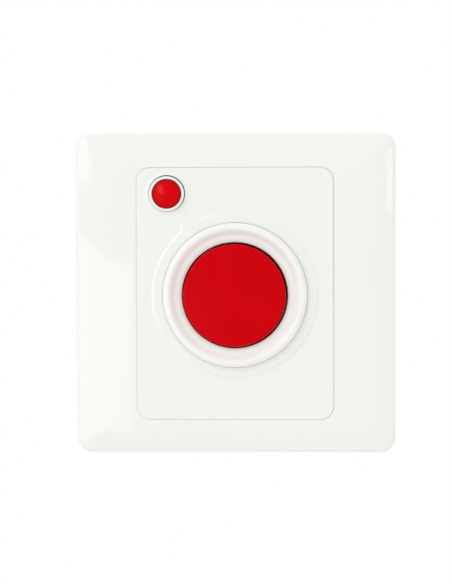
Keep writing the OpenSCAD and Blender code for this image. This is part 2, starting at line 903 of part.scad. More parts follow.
// The least gap between neighbouring turns, measured from ring to ring
coil_least_gap = min([for (i = [0:coil_steps - coil_rings])
    norm(coil_line[i + coil_rings] - coil_line[i])]) - wire_d;
echo(coil_least_gap = coil_least_gap);

// The return spring, one wound tube
module return_spring() {
    rings = [for (i = [0:coil_count - 1])
        let (t = coil_ahead(i), s = coil_aside(i), u = cross(s, t))
            for (k = [0:coil_sides - 1])
                coil_path[i] + wire_d / 2
                    * (cos(360 * k / coil_sides) * s + sin(360 * k / coil_sides) * u)];
    sides = [for (i = [0:coil_count - 2], k = [0:coil_sides - 1])
        let (
            a = i * coil_sides + k,
            b = i * coil_sides + (k + 1) % coil_sides
        )
            for (face = [[a, b, b + coil_sides], [a, b + coil_sides, a + coil_sides]]) face];
    last = (coil_count - 1) * coil_sides;
    caps = [for (k = [1:coil_sides - 2], end = [0, 1])
        end == 0 ? [0, k + 1, k] : [last, last + k, last + k + 1]];
    color("silver")
        at_button()
            polyhedron(points = rings, faces = [for (f = concat(sides, caps)) [f[0], f[2], f[1]]]);
}

// The white ring that holds the lens, put in from the front
module lamp_bezel()
    color("white")
        at_lamp()
            difference() {
                union() {
                    translate([0, 0, bezel_seat_z + touch_gap])
                        cylinder(r = bezel_r, h = bezel_top_z - bezel_seat_z - touch_gap);
                    translate([0, 0, sleeve_end_z])
                        cylinder(r = sleeve_r, h = bezel_seat_z + over - sleeve_end_z);
                }
                translate([0, 0, lens_seat_z])
                    cylinder(r = lens_r + lens_fit, h = bezel_top_z - lens_seat_z + over);
                translate([0, 0, sleeve_end_z - over])
                    cylinder(r = sleeve_bore_r, h = lens_seat_z - sleeve_end_z + 2 * over);
                rotate_extrude()
                    translate([bezel_r, bezel_top_z])
                        edge_cutter(bezel_edge_r);
            }

// The red lens
module lamp_lens()
    color("red")
        at_lamp()
            difference() {
                intersection() {
                    translate([0, 0, lens_seat_z + touch_gap])
                        cylinder(r = lens_r, h = lens_edge_z + lens_rise);
                    translate([0, 0, lens_edge_z + lens_rise - lens_dome_r])
                        sphere(lens_dome_r);
                }
                translate([0, 0, lens_seat_z - over])
                    cylinder(r = lens_r - lens_skirt_t, h = lens_roof_z - lens_seat_z + over);
            }

// The push-on ring that holds the bezel behind the panel
module lamp_ring()
    color("silver")
        at_lamp(lamp_boss_z - touch_gap - ring_t)
            difference() {
                cylinder(r = ring_r, h = ring_t);
                translate([0, 0, -over])
                    cylinder(r = sleeve_r + ring_grip, h = ring_t + 2 * over);
                for (i = [0:ring_slits - 1])
                    rotate([0, 0, i * 360 / ring_slits])
                        translate([0, -ring_slit_w / 2, -over])
                            cube([sleeve_r + ring_slit_share * ring_w, ring_slit_w,
                                ring_t + 2 * over]);
            }

// The light-emitting diode under the lens
module lamp_led()
    color("pink")
        at_lamp() {
            translate([0, 0, led_base_z])
                cylinder(r = led_r, h = led_body_l - led_r);
            translate([0, 0, led_top_z - led_r])
                sphere(led_r);
            translate([0, 0, led_base_z])
                difference() {
                    cylinder(r = led_flange_r, h = led_flange_t);
                    translate([led_r, -led_flange_r, -over])
                        cube([led_flange_w + over, 2 * led_flange_r, led_flange_t + 2 * over]);
                }
        }

// Its two leads
module led_leads()
    color("silver")
        for (side = [-1, 1])
            at_lamp(pin_end_z)
                translate([side * lead_pitch / 2 - lead_w / 2, -lead_w / 2, 0])
                    cube([lead_w, lead_w, led_base_z - touch_gap - pin_end_z]);

// The spacer that carries it above the board
module led_spacer()
    color("black")
        at_lamp(board_z + touch_gap)
            difference() {
                cylinder(r = led_flange_r, h = led_base_z - board_z - 2 * touch_gap);
                for (side = [-1, 1])
                    translate([side * lead_pitch / 2, 0, -over])
                        cylinder(r = lead_hole_r, h = led_base_z - board_z + 2 * over);
            }

// Round holes through the board
module board_hole(place, r)
    translate([place[0], place[1], board_under_z - over])
        cylinder(r = r, h = board_t + 2 * over);

// The two holes for the wires of a part on the board
module wire_holes(place, pitch)
    for (side = [-1, 1])
        board_hole([place[0] + side * pitch / 2, place[1]], wire_hole_r);

// The board that carries switch, lamp and terminals
module circuit_board()
    color("green")
        difference() {
            round_prism(board_w, board_h, board_corner_r, board_under_z, board_z);
            for (p = cover_posts)
                board_hole(p, post_r + board_gap);
            for (p = board_posts)
                board_hole(p, small_hole_r);
            for (side = [-1, 1])
                board_hole([lamp_x + side * lead_pitch / 2, lamp_y], lead_hole_r);
            for (i = [-1:1])
                board_hole([switch_x + switch_l / 2 + i * switch_pin_pitch, button_y], pin_hole_r);
            for (x = pole_x)
                board_hole([x, block_y], post_pin_hole_r);
            for (p = resistor_places)
                wire_holes(p, resistor_pitch);
            wire_holes(diode_place, diode_pitch);
            wire_holes(capacitor_place, capacitor_pitch);
        }

// Places a piece of the switch: x from its rear end, z from its top
module at_switch(x = 0, z = 0) translate([switch_x + x, button_y, switch_top_z + z]) children();

// The body of the microswitch with the two ears for the lever
module switch_body()
    color("black")
        difference() {
            union() {
                at_switch(0, -switch_h)
                    translate([0, -switch_w / 2, 0])
                        cube([switch_l, switch_w, switch_h]);
                for (side = [0, 1])
                    at_switch(switch_behind - ear_l / 2, -over)
                        mirror([0, side, 0])
                            translate([0, switch_w / 2 - ear_t, 0])
                                cube([ear_l, ear_t, over + pivot_rise + ear_rise]);
            }
            at_switch(switch_behind, pivot_rise)
                rotate([90, 0, 0])
                    cylinder(r = pivot_r + running_fit, h = 2 * switch_w, center = true);
            at_switch(switch_behind + plunger_arm, -plunger_bore)
                cylinder(r = plunger_r + running_fit, h = plunger_bore + over);
            for (side = [-1, 1])
                at_switch(switch_l / 2 + side * switch_hole_share * switch_l,
                    switch_hole_rise - switch_h)
                    rotate([90, 0, 0])
                        cylinder(r = switch_hole_r, h = 2 * switch_w, center = true);
        }

// The button of the microswitch
module switch_plunger()
    color("red")
        translate([plunger_x, button_y, 0]) {
            translate([0, 0, plunger_z])
                sphere(plunger_r);
            translate([0, 0, switch_top_z - plunger_in])
                cylinder(r = plunger_r, h = plunger_z - switch_top_z + plunger_in);
        }

// The lever that the stem pushes down, drawn in its place at rest
module switch_lever()
    color("silver")
        translate([pivot_x, button_y, pivot_z]) {
            rotate([0, -lever_rest_angle, 0])
                translate([0, -lever_w / 2, -lever_t / 2])
                    cube([lever_l, lever_w, lever_t]);
            rotate([90, 0, 0]) {
                cylinder(r = barrel_r, h = lever_w, center = true);
                cylinder(r = pivot_r, h = switch_w - ear_t / 2, center = true);
            }
        }

// Its three pins
module switch_pins()
    color("silver")
        for (i = [-1:1])
            at_switch(switch_l / 2 + i * switch_pin_pitch, pin_end_z - switch_top_z)
                translate([-pin_w / 2, -pin_t / 2, 0])
                    cube([pin_w, pin_t, switch_top_z - switch_h - touch_gap - pin_end_z]);

// The housing of the wire terminals, with its wires coming from below
module terminal_block()
    color("green")
        translate([0, block_y, 0])
            difference() {
                translate([-block_l / 2, 0, 0])
                    rotate([90, 0, 90])
                        linear_extrude(block_l)
                            polygon([
                                [-block_w / 2, board_under_z - touch_gap],
                                [-block_w / 2, block_end_z + block_slope],
                                [-block_w / 2 + block_slope, block_end_z],
                                [block_w / 2 - block_slope, block_end_z],
                                [block_w / 2, block_end_z + block_slope],
                                [block_w / 2, board_under_z - touch_gap]
                            ]);
                for (x = pole_x)
                    translate([x, 0, 0]) {
                        translate([-cage_w / 2 - fit_gap, -cage_l / 2 - fit_gap, cage_z - fit_gap])
                            cube([cage_w + 2 * fit_gap, cage_l + 2 * fit_gap,
                                board_under_z - cage_z + fit_gap + over]);
                        translate([0, 0, block_end_z - over])
                            cylinder(r = terminal_head_r + fit_gap, h = cage_rise + 2 * over);
                        translate([-entry_w / 2, -block_w / 2 - over,
                            cage_z + (cage_h - entry_h) / 2])
                            cube([entry_w, block_w / 2 + over, entry_h]);
                    }
            }

// The metal cages that clamp the wires
module terminal_cages()
    color("silver")
        for (x = pole_x)
            translate([x, block_y, cage_z])
                difference() {
                    translate([-cage_w / 2, -cage_l / 2, 0])
                        cube([cage_w, cage_l, cage_h]);
                    translate([cage_wall - cage_w / 2, -cage_l / 2 - over, cage_wall])
                        cube([cage_w - 2 * cage_wall, cage_l + 2 * over, cage_h - 2 * cage_wall]);
                    translate([0, 0, -over])
                        cylinder(r = terminal_thread_r + running_fit, h = cage_wall + 2 * over);
                }

// A screw that points up from z = 0, with its head below and a cross recess in the head
module screw(head_r, head_h, thread_r, thread_l, neck_r = 0, neck_l = 0) {
    depth = drive_depth_share * head_h;
    difference() {
        union() {
            translate([0, 0, -head_h])
                cylinder(r = head_r, h = head_h);
            if (neck_l > 0)
                cylinder(r = neck_r, h = neck_l + over);
            translate([0, 0, neck_l])
                cylinder(r = thread_r, h = thread_l - neck_l);
        }
        for (turn = [0, 90])
            rotate([0, 0, turn])
                translate([-drive_l_share * head_r / 2, -drive_w_share * head_r / 2,
                    -head_h - over])
                    cube([drive_l_share * head_r, drive_w_share * head_r, depth + over]);
    }
}

// The screws that clamp the wires
module terminal_screws()
    color("silver")
        for (x = pole_x)
            translate([x, block_y, terminal_head_z + terminal_head_h])
                screw(terminal_head_r, terminal_head_h, terminal_thread_r, terminal_thread_l);

// The pins between cages and board
module terminal_pins()
    color("silver")
        for (x = pole_x)
            translate([x - post_pin_w / 2, block_y - post_pin_w / 2, cage_z + cage_h + touch_gap])
                cube([post_pin_w, post_pin_w,
                    board_z + pin_out - cage_z - cage_h - touch_gap]);

// The bent wires of a part that lies on the board
module axial_wires(r, l, pitch) {
    lift = r + axial_rise;
    translate([-pitch / 2, 0, lift])
        rotate([0, 90, 0])
            cylinder(r = wire_r, h = (pitch - l) / 2 + over);
    translate([l / 2 - over, 0, lift])
        rotate([0, 90, 0])
            cylinder(r = wire_r, h = (pitch - l) / 2 + over);
    for (side = [-1, 1])
        translate([side * pitch / 2, 0, 0]) {
            translate([0, 0, pin_end_z - board_z])
                cylinder(r = wire_r, h = lift + board_z - pin_end_z);
            translate([0, 0, lift])
                sphere(wire_r);
        }
}

// Resistors with wider ends
module resistors()
    color("tan")
        for (p = resistor_places)
            translate([p[0], p[1], board_z]) {
                axial_wires(resistor_r, resistor_l, resistor_pitch);
                translate([-resistor_l / 2, 0, resistor_r + axial_rise])
                    rotate([0, 90, 0]) {
                        cylinder(r = resistor_waist_share * resistor_r, h = resistor_l);
                        for (start = [0, resistor_l * (1 - resistor_cap_share)])
                            translate([0, 0, start])
                                cylinder(r = resistor_r, h = resistor_l * resistor_cap_share);
                    }
            }

// The diode across the call line
module diode()
    color("dimgray")
        translate([diode_place[0], diode_place[1], board_z]) {
            axial_wires(diode_r, diode_l, diode_pitch);
            translate([-diode_l / 2, 0, diode_r + axial_rise])
                rotate([0, 90, 0])
                    cylinder(r = diode_r, h = diode_l);
        }

// The capacitor that keeps contact bounce off the line
module capacitor()
    color("navy")
        translate([capacitor_place[0], capacitor_place[1], board_z]) {
            difference() {
                translate([0, 0, axial_rise])
                    cylinder(r = capacitor_r, h = capacitor_h);
                rotate_extrude()
                    translate([capacitor_r, axial_rise + capacitor_h])
                        edge_cutter(capacitor_edge_r);
                rotate_extrude()
                    translate([capacitor_r, axial_rise + capacitor_groove_share * capacitor_h])
                        circle(capacitor_groove);
            }
            for (side = [-1, 1])
                translate([side * capacitor_pitch / 2, 0, pin_end_z - board_z])
                    cylinder(r = wire_r, h = board_z - pin_end_z + axial_rise + over);
        }

// The screws that hold the board on its posts, put in from behind
module board_screws()
    color("silver")
        for (p = board_posts)
            translate([p[0], p[1], board_under_z - touch_gap])
                screw(small_head_r, small_head_h, small_thread_r, small_screw_l);

// The cover on the rear of the tub, with an opening for the terminal block
module rear_cover()
    color("lightgray")
        difference() {
            round_prism(tub_low_w, tub_out_h, tub_out_r, cover_under_z, cover_z);
            for (p = cover_posts)
                translate([p[0], p[1], cover_under_z - over])
                    cylinder(r = small_hole_r, h = cover_t + 2 * over);
            translate([-block_l / 2 - slip, block_y - block_w / 2 - slip, cover_under_z - over])
                cube([block_l + 2 * slip, block_w + 2 * slip, cover_t + 2 * over]);
        }

// The screws of that cover
module cover_screws()
    color("silver")
        for (p = cover_posts)
            translate([p[0], p[1], cover_under_z - touch_gap])
                screw(small_head_r, small_head_h, small_thread_r, small_screw_l);

// The two screws into the wall box, under the frame
module wall_screws()
    color("silver")
        for (side = [-1, 1])
            translate([side * wall_screw_spacing / 2, 0, plate_t + touch_gap])
                mirror([0, 0, 1])
                    screw(wall_head_r, wall_head_h, wall_thread_r, wall_screw_l,
                        wall_neck_share * wall_thread_r, plate_t + touch_gap);

on_wall() front_frame();
on_wall() chassis();
on_wall() centre_panel();
on_wall() button_collar();
on_wall() collar_seal();
on_wall() button_cap();
on_wall() button_stem();
on_wall() stem_clip();
on_wall() return_spring();
on_wall() lamp_bezel();
on_wall() lamp_lens();
on_wall() lamp_ring();
on_wall() lamp_led();
on_wall() led_leads();
on_wall() led_spacer();
on_wall() circuit_board();
on_wall() switch_body();
on_wall() switch_plunger();
on_wall() switch_lever();
on_wall() switch_pins();
on_wall() terminal_block();
on_wall() terminal_cages();
on_wall() terminal_screws();
on_wall() terminal_pins();
on_wall() resistors();
on_wall() diode();
on_wall() capacitor();
on_wall() board_screws();
on_wall() rear_cover();
on_wall() cover_screws();
on_wall() wall_screws();
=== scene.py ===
"""Looks of a wall call button on a square 86 mm plate.

Shapes are worked out in plate coordinates, in millimetres: x to the right, y up the wall and
z out of the wall. to_frame() turns them upright and into metres, so that the face looks
along -Y and the wall is the plane Y = 0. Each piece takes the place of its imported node.
"""

import logging
import math
from dataclasses import dataclass, field
from enum import Enum
from typing import Callable, Sequence

import bmesh
import bpy
import numpy as np
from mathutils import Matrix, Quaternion, Vector
from mathutils.geometry import delaunay_2d_cdt

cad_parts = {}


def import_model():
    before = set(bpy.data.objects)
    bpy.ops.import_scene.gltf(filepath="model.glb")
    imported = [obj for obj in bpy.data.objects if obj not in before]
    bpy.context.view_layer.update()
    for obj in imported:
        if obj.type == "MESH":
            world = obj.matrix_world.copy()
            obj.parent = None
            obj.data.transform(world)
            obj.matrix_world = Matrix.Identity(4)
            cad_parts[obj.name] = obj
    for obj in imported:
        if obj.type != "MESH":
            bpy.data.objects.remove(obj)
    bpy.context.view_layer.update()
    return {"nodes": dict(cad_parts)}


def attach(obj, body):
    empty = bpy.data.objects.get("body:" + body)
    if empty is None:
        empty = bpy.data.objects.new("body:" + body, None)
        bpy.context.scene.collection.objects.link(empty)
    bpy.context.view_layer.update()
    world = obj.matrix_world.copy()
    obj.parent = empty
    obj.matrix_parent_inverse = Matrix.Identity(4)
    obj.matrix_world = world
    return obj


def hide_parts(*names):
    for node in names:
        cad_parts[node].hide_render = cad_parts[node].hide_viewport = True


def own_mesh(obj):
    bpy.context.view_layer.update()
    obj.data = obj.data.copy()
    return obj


MM = 0.001
# Points that agree to this many decimals of a millimetre are one point.
WELD_DECIMALS = 4
# Steps round the large and the small circles that share an edge with another piece of mesh.
LARGE_STEPS, SMALL_STEPS = 256, 96
# A distance from an axis that divides something is taken as at least this, in millimetres.
NEAR_AXIS = 0.1
LOG = logging.getLogger("call_button")

Points = np.ndarray
Pair = tuple[float, float]
Pairs = tuple[Pair, ...]


# Numbers, colours and paths


def hex_colour(code: str) -> tuple[float, float, float, float]:
    """Turns an sRGB hex colour into linear values.

    Args:
        code: six hex digits after a number sign.

    Returns:
        Red, green, blue and an alpha of 1.
    """
    parts = [int(code[i : i + 2], 16) / 255 for i in (1, 3, 5)]
    linear = [p / 12.92 if p <= 0.04045 else ((p + 0.055) / 1.055) ** 2.4 for p in parts]
    return (linear[0], linear[1], linear[2], 1.0)


def to_frame(points: Points) -> Points:
    """Turns plate coordinates in millimetres into the frame's metres: (x, y, z) to (x, -z, y)."""
    return np.stack([points[..., 0], -points[..., 2], points[..., 1]], axis=-1) * MM


def arc(x: float, y: float, r: float, start: float, end: float, steps: int) -> Points:
    """Points on a circle: (x + r cos a, y + r sin a), with a going from start to end.

    Args:
        x: centre, first coordinate.
        y: centre, second coordinate.
        r: radius.
        start: first angle in degrees.
        end: last angle in degrees.
        steps: number of steps between the ends.

    Returns:
        An array of steps + 1 points.
    """
    a = np.radians(np.linspace(start, end, steps + 1))
    return np.stack([x + r * np.cos(a), y + r * np.sin(a)], axis=1)


def path(*parts: Sequence) -> Points:
    """Joins points and arrays of points into one array."""
    return np.concatenate([np.atleast_2d(np.asarray(p, float)) for p in parts])


def inside(points: Points, loops: Sequence[Points]) -> Points:
    """Tells which points have an odd number of the loops' edges to their right.

    Args:
        points: (x, y) points to test.
        loops: closed loops of (x, y) points.

    Returns:
        True for each point that lies between the outer loop and the holes.
    """
    odd = np.zeros(len(points), bool)
    for loop in loops:
        (ax, ay), (bx, by) = loop.T[..., None], np.roll(loop, -1, axis=0).T[..., None]
        spans = (ay > points[:, 1]) != (by > points[:, 1])
        rise = np.where(by == ay, 1.0, by - ay)
        meets = ax + (points[:, 1] - ay) / rise * (bx - ax)
        odd ^= (spans & (points[:, 0] < meets)).sum(0) % 2 == 1
    return odd


def smooth_step(low: float, high: float, value: Points) -> Points:
    """Cubic ease from 0 at low to 1 at high: 3 t squared minus 2 t cubed."""
    t = np.clip((value - low) / (high - low), 0, 1)
    return t * t * (3 - 2 * t)


def triangulate(loops: Sequence[Points]) -> tuple[Points, Points]:
    """Splits the region between an outer loop and holes into triangles that use only their points.

    Args:
        loops: closed loops of (x, y) points; the first is the outer one.

    Returns:
        The points, and counter-clockwise triangles that index them and repeat their last corner.
    """
    starts = np.cumsum([0] + [len(loop) for loop in loops])
    edges = [
        (int(a + i), int(a + (i + 1) % (b - a)))
        for a, b in zip(starts[:-1], starts[1:])
        for i in range(b - a)
    ]
    corners = np.concatenate(loops)
    made = delaunay_2d_cdt([Vector(p) for p in corners.tolist()], edges, [], 0, 1e-7)
    given = np.array([tuple(p) for p in made[0]])
    source = np.abs(given[:, None] - corners[None]).sum(2).argmin(1)
    triangles = source[np.array([(f[0], f[1], f[2], f[2]) for f in made[2]])]
    return corners, triangles[inside(corners[triangles[:, :3]].mean(1), loops)]


def at_height(loop: Points, z: float | Points) -> Points:
    """Gives a loop of (x, y) a height, which may differ from point to point."""
    return np.concatenate([loop, np.broadcast_to(z, (len(loop),))[:, None]], axis=1)


# Meshes


@dataclass
class Surface:
    """Gathers grids and flat faces, in plate coordinates, into one closed mesh."""

    points: list[Points] = field(default_factory=list)
    faces: list[Points] = field(default_factory=list)
    count: int = 0

    def put(self, points: Points, faces: Points) -> None:
        """Adds points and faces.

        Args:
            points: any array of (x, y, z).
            faces: four indices of those points a face; a triangle repeats its last corner.
        """
        self.points.append(points.reshape(-1, 3))
        self.faces.append(faces + self.count)
        self.count += points.size // 3

    def grid(
        self, points: Points, wrap_rows: bool = False, wrap_columns: bool = True, flip: bool = False
    ) -> None:
        """Adds a grid of quads whose corners are neighbours in the array.

        Args:
            points: rows by columns by 3.
            wrap_rows: the last row joins the first.
            wrap_columns: the last column joins the first.
            flip: turns the faces round.
        """
        rows, columns = points.shape[:2]
        index = np.arange(rows * columns).reshape(rows, columns)
        if wrap_rows:
            index = np.concatenate([index, index[:1]])
        if wrap_columns:
            index = np.concatenate([index, index[:, :1]], axis=1)
        corners = [index[:-1, :-1], index[:-1, 1:], index[1:, 1:], index[1:, :-1]]
        quads = np.stack(corners, axis=-1).reshape(-1, 4)
        self.put(points, quads[:, ::-1] if flip else quads)

    def flat(self, loops: Sequence[Points], z: float, up: bool = True) -> None:
        """Fills the plane region between an outer loop and holes, as a constrained triangulation.

        Args:
            loops: closed loops of (x, y) points; the first is the outer one.
            z: height of the plane.
            up: the faces look along +z, else along -z.
        """
        corners, triangles = triangulate(loops)
        self.put(at_height(corners, z), triangles if up else triangles[:, [2, 1, 0, 0]])

    def revolve(self, profile: Points, centre: Pair, steps: int = 128, closed: bool = True) -> None:
        """Turns a profile of (radius, z) about an axis: (r cos a, r sin a, z).

        The profile runs so that the material lies on its left, seen with z up and r to the right.

        Args:
            profile: array of (radius, z).
            centre: place of the axis.
            steps: number of steps round the axis.
            closed: the last point joins the first.
        """
        a = np.linspace(0, 2 * math.pi, steps, endpoint=False)
        r, z = profile[:, 0][:, None], profile[:, 1][:, None]
        x = centre[0] + r * np.cos(a)[None]
        y = centre[1] + r * np.sin(a)[None]
        self.grid(np.stack([x, y, np.broadcast_to(z, x.shape)], axis=-1), wrap_rows=closed)

    def bar(self, section: Points, width: float, y: float, mirrored: bool = False) -> None:
        """Adds a prism across y whose section is given in (x, z), or its mirror image.

        Args:
            section: corners of the section, running counter-clockwise with x right and z up.
            width: length along y.
            y: place of the prism's middle.
            mirrored: the section's x runs to the left instead.
        """
        x, z = section[:, 0] * (-1.0 if mirrored else 1.0), section[:, 1]
        ends = [np.stack([x, np.full(len(x), y + s * width / 2), z], axis=-1) for s in (-1, 1)]
        self.grid(np.stack(ends), flip=not mirrored)
        fill = triangulate([np.stack([x, z], axis=1)])[1]
        self.put(ends[0], fill)
        self.put(ends[1], fill[:, [2, 1, 0, 0]])

    def mesh(self, name: str) -> bpy.types.Mesh:
        """Welds what was gathered and makes the mesh, turned upright and in metres.

        Args:
            name: name of the mesh.

        Returns:
            The mesh, with quads whose corners fell together made triangles.
        """
        points, faces = np.concatenate(self.points), np.concatenate(self.faces)
        keys = np.round(points, WELD_DECIMALS)
        _, first, inverse = np.unique(keys, axis=0, return_index=True, return_inverse=True)
        points, faces = points[first], inverse.reshape(-1)[faces]
        same = faces == np.roll(faces, -1, axis=1)
        quads = faces[same.sum(1) == 0]
        order = (np.argmax(same, axis=1)[:, None] + np.arange(1, 4)) % 4
        triangles = np.take_along_axis(faces, order, axis=1)[same.sum(1) == 1]
        a, b, c = triangles.T
        triangles = triangles[(a != b) & (b != c) & (a != c)]
        made = bpy.data.meshes.new(name)
        made.from_pydata(to_frame(points).tolist(), [], quads.tolist() + triangles.tolist())
        made.validate()
        return made


class Mark(Enum):
    """What an attribute of the mesh marks, by the attribute's name."""

    # Painted shade in joints, with dust, at the lens's edge, and the cap's painted red light on the collar.
    PAINTED_SHADE = "gap"
    # A painted reflection: a pale patch on the lens.
    GLOW = "painted_reflection"


def mark(
    mesh: bpy.types.Mesh, amount: Callable[[Points, Points, Points], Points], kind: Mark = Mark.PAINTED_SHADE
) -> None:
    """Writes an attribute for each vertex from its place.

    Args:
        mesh: a mesh in the frame's metres.
        amount: takes x, y and z in plate millimetres and gives 0 where the surface has its own
            colour and 1 where it is wholly tinted.
        kind: what is marked.
    """
    places = np.empty(len(mesh.vertices) * 3)
    mesh.vertices.foreach_get("co", places)
    x, y, z = (places.reshape(-1, 3) / MM).T
    values = amount(x, z, -y).astype(np.float32)
    mesh.attributes.new(kind.value, "FLOAT", "POINT").data.foreach_set("value", values)


def place_piece(
    mesh: bpy.types.Mesh,
    node: str,
    material: bpy.types.Material,
    body: str = "wall_unit",
    angle: float = 32,
) -> bpy.types.Object:
    """Puts a mesh into the scene as a piece of its name that rides on a body.

    Args:
        mesh: the piece's mesh, in the frame's metres.
        node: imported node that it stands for.
        material: its finish.
        body: body that carries it.
        angle: edges sharper than this stay sharp, in degrees.

    Returns:
        The object.
    """
    mesh.polygons.foreach_set("use_smooth", np.ones(len(mesh.polygons), bool))
    mesh.set_sharp_from_angle(angle=math.radians(angle))
    mesh.update()
    mesh.materials.append(material)
    piece = bpy.data.objects.new(mesh.name, mesh)
    bpy.context.scene.collection.objects.link(piece)
    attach(piece, body)
    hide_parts(node)
    LOG.info("%s: %d faces on %s", piece.name, len(mesh.polygons), body)
    return piece


# Finishes


def add_node(
    tree: bpy.types.NodeTree, kind: str, inputs: dict | None = None, **settings: object
) -> bpy.types.Node:
    """Adds a shader node, sets it and links it.

    Args:
        tree: the material's node tree.
        kind: the node's type name.
        inputs: socket name or index to a value, or to an output socket that feeds it.
        settings: attributes of the node.

    Returns:
        The node.
    """
    node = tree.nodes.new(kind)
    for key, value in settings.items():
        setattr(node, key, value)
    for key, value in (inputs or {}).items():
        if isinstance(value, bpy.types.NodeSocket):
            tree.links.new(value, node.inputs[key])
        else:
            node.inputs[key].default_value = value
    return node


class Coat:
    """A material in the making, whose patterns lie on object coordinates."""

    def __init__(self, name: str) -> None:
        """Makes an empty node material round one shader.

        Args:
            name: name of the material.
        """
        self.material = bpy.data.materials.new(name)
        self.material.use_nodes = True
        self.tree = self.material.node_tree
        self.tree.nodes.clear()
        self.shader = add_node(self.tree, "ShaderNodeBsdfPrincipled")
        add_node(self.tree, "ShaderNodeOutputMaterial", {"Surface": self.shader.outputs[0]})
        self.place = add_node(self.tree, "ShaderNodeTexCoord").outputs["Object"]

    def settle(self, socket: str, value: float) -> None:
        """Sets a socket of the shader to what it is all over the surface."""
        self.shader.inputs[socket].default_value = value

    def feed(self, socket: str, source: bpy.types.NodeSocket) -> None:
        """Links an output to a socket of the shader."""
        self.tree.links.new(source, self.shader.inputs[socket])

    def drift_colour(self, first: str, second: str, size_mm: float) -> None:
        """Lets the base colour drift between two close colours in soft patches.

        Args:
            first: one colour, as sRGB hex.
            second: the other colour.
            size_mm: size of the patches.
        """
        pattern = {"Vector": self.place, "Scale": 1 / (size_mm * MM), "Detail": 2.0}
        cloud = add_node(self.tree, "ShaderNodeTexNoise", pattern).outputs["Fac"]
        colours = {0: cloud, 6: hex_colour(first), 7: hex_colour(second)}
        self.feed("Base Color", add_node(self.tree, "ShaderNodeMix", colours, data_type="RGBA").outputs[2])

    def drift_roughness(self, low: float, high: float, size_mm: float) -> None:
        """Lets the roughness drift between two values in patches.

        Args:
            low: least roughness.
            high: most roughness.
            size_mm: size of the patches.
        """
        pattern = {"Vector": self.place, "Scale": 1 / (size_mm * MM), "Detail": 3.0}
        cloud = add_node(self.tree, "ShaderNodeTexNoise", pattern).outputs["Fac"]
        # The cloud seldom leaves the range from 0.3 to 0.7.
        span = {"Value": cloud, "From Min": 0.3, "From Max": 0.7, "To Min": low, "To Max": high}
        self.feed("Roughness", add_node(self.tree, "ShaderNodeMapRange", span).outputs["Result"])

    def raise_bumps(self, height: bpy.types.NodeSocket, depth_mm: float) -> None:
        """Turns a height between 0 and 1 into a bump.

        Args:
            height: output that carries the height.
            depth_mm: depth that a height of 1 stands for.
        """
        bump = {"Height": height, "Distance": depth_mm * MM, "Strength": 1.0}
        self.feed("Normal", add_node(self.tree, "ShaderNodeBump", bump).outputs["Normal"])

    def cover(self, share: bpy.types.NodeSocket, code: str) -> None:
        """Mixes a colour over the base colour.

        Args:
            share: output that carries how far the colour covers, from 0 to 1.
            code: the colour, as sRGB hex.
        """
        under = self.shader.inputs["Base Color"].links[0].from_socket
        colours = {0: share, 6: under, 7: hex_colour(code)}
        self.feed("Base Color", add_node(self.tree, "ShaderNodeMix", colours, data_type="RGBA").outputs[2])


@dataclass(frozen=True)
class Finish:
    """What every finish has: a name, and two close colours between which the surface drifts."""

    name: str
    colour: str
    drift: str

    def start(self, patch_mm: float, roughness: Pair, cloud_mm: float) -> Coat:
        """Starts the material with its drifting colour and roughness.

        Args:
            patch_mm: size of the patches of colour.
            roughness: least and most roughness.
            cloud_mm: size of the patches of roughness.

        Returns:
            The material in the making.
        """
        coat = Coat(self.name)
        coat.drift_colour(self.colour, self.drift, patch_mm)
        coat.drift_roughness(*roughness, cloud_mm)
        return coat

    def build(self) -> bpy.types.Material:
        """Makes the material, which each kind of finish does in its own way."""
        raise NotImplementedError


class Polish(Enum):
    """How the mould's wall was finished, as the roughness that the plastic takes from it."""

    MIRROR = 0.03
    GLOSS = 0.16
    SATIN = 0.34


@dataclass(frozen=True)
class Moulding(Finish):
    """Injection-moulded thermoplastic: an even body colour under a polished skin with faint orange peel."""

    polish: Polish
    ior: float = 1.52
    peel_mm: float = 3.2
    peel_depth_mm: float = 0.0008
    patch_mm: float = 22.0
    cloud_mm: float = 9.0
    # Least and most roughness, as shares of the polish.
    spread: Pair = (0.85, 1.15)
    shine: float = 0.5
    # Colour of the painted shade in joints, with dust and on the collar the cap's painted red light, where
    # the piece is marked for it.
    gap_colour: str | None = None

    def build(self) -> bpy.types.Material:
        """Makes the material.

        Returns:
            A node material on object coordinates.
        """
        low, high = (self.polish.value * share for share in self.spread)
        coat = self.start(self.patch_mm, (low, high), self.cloud_mm)
        pattern = {"Vector": coat.place, "Scale": 1 / (self.peel_mm * MM), "Detail": 1.0}
        peel = add_node(coat.tree, "ShaderNodeTexNoise", pattern)
        coat.raise_bumps(peel.outputs["Fac"], self.peel_depth_mm)
        coat.settle("IOR", self.ior)
        coat.settle("Specular IOR Level", self.shine)
        if self.gap_colour:
            # The painted shade mixes its colour over the base colour where the piece is marked.
            gap = add_node(coat.tree, "ShaderNodeAttribute", attribute_name=Mark.PAINTED_SHADE.value).outputs["Fac"]
            coat.cover(gap, self.gap_colour)
            # The painted shade dulls the skin's gloss as it tints it.
            unshaded = add_node(coat.tree, "ShaderNodeMath", {0: 1.0, 1: gap}, operation="SUBTRACT").outputs[0]
            left = add_node(coat.tree, "ShaderNodeMath", {0: unshaded, 1: self.shine}, operation="MULTIPLY")
            coat.feed("Specular IOR Level", left.outputs[0])
        return coat.material


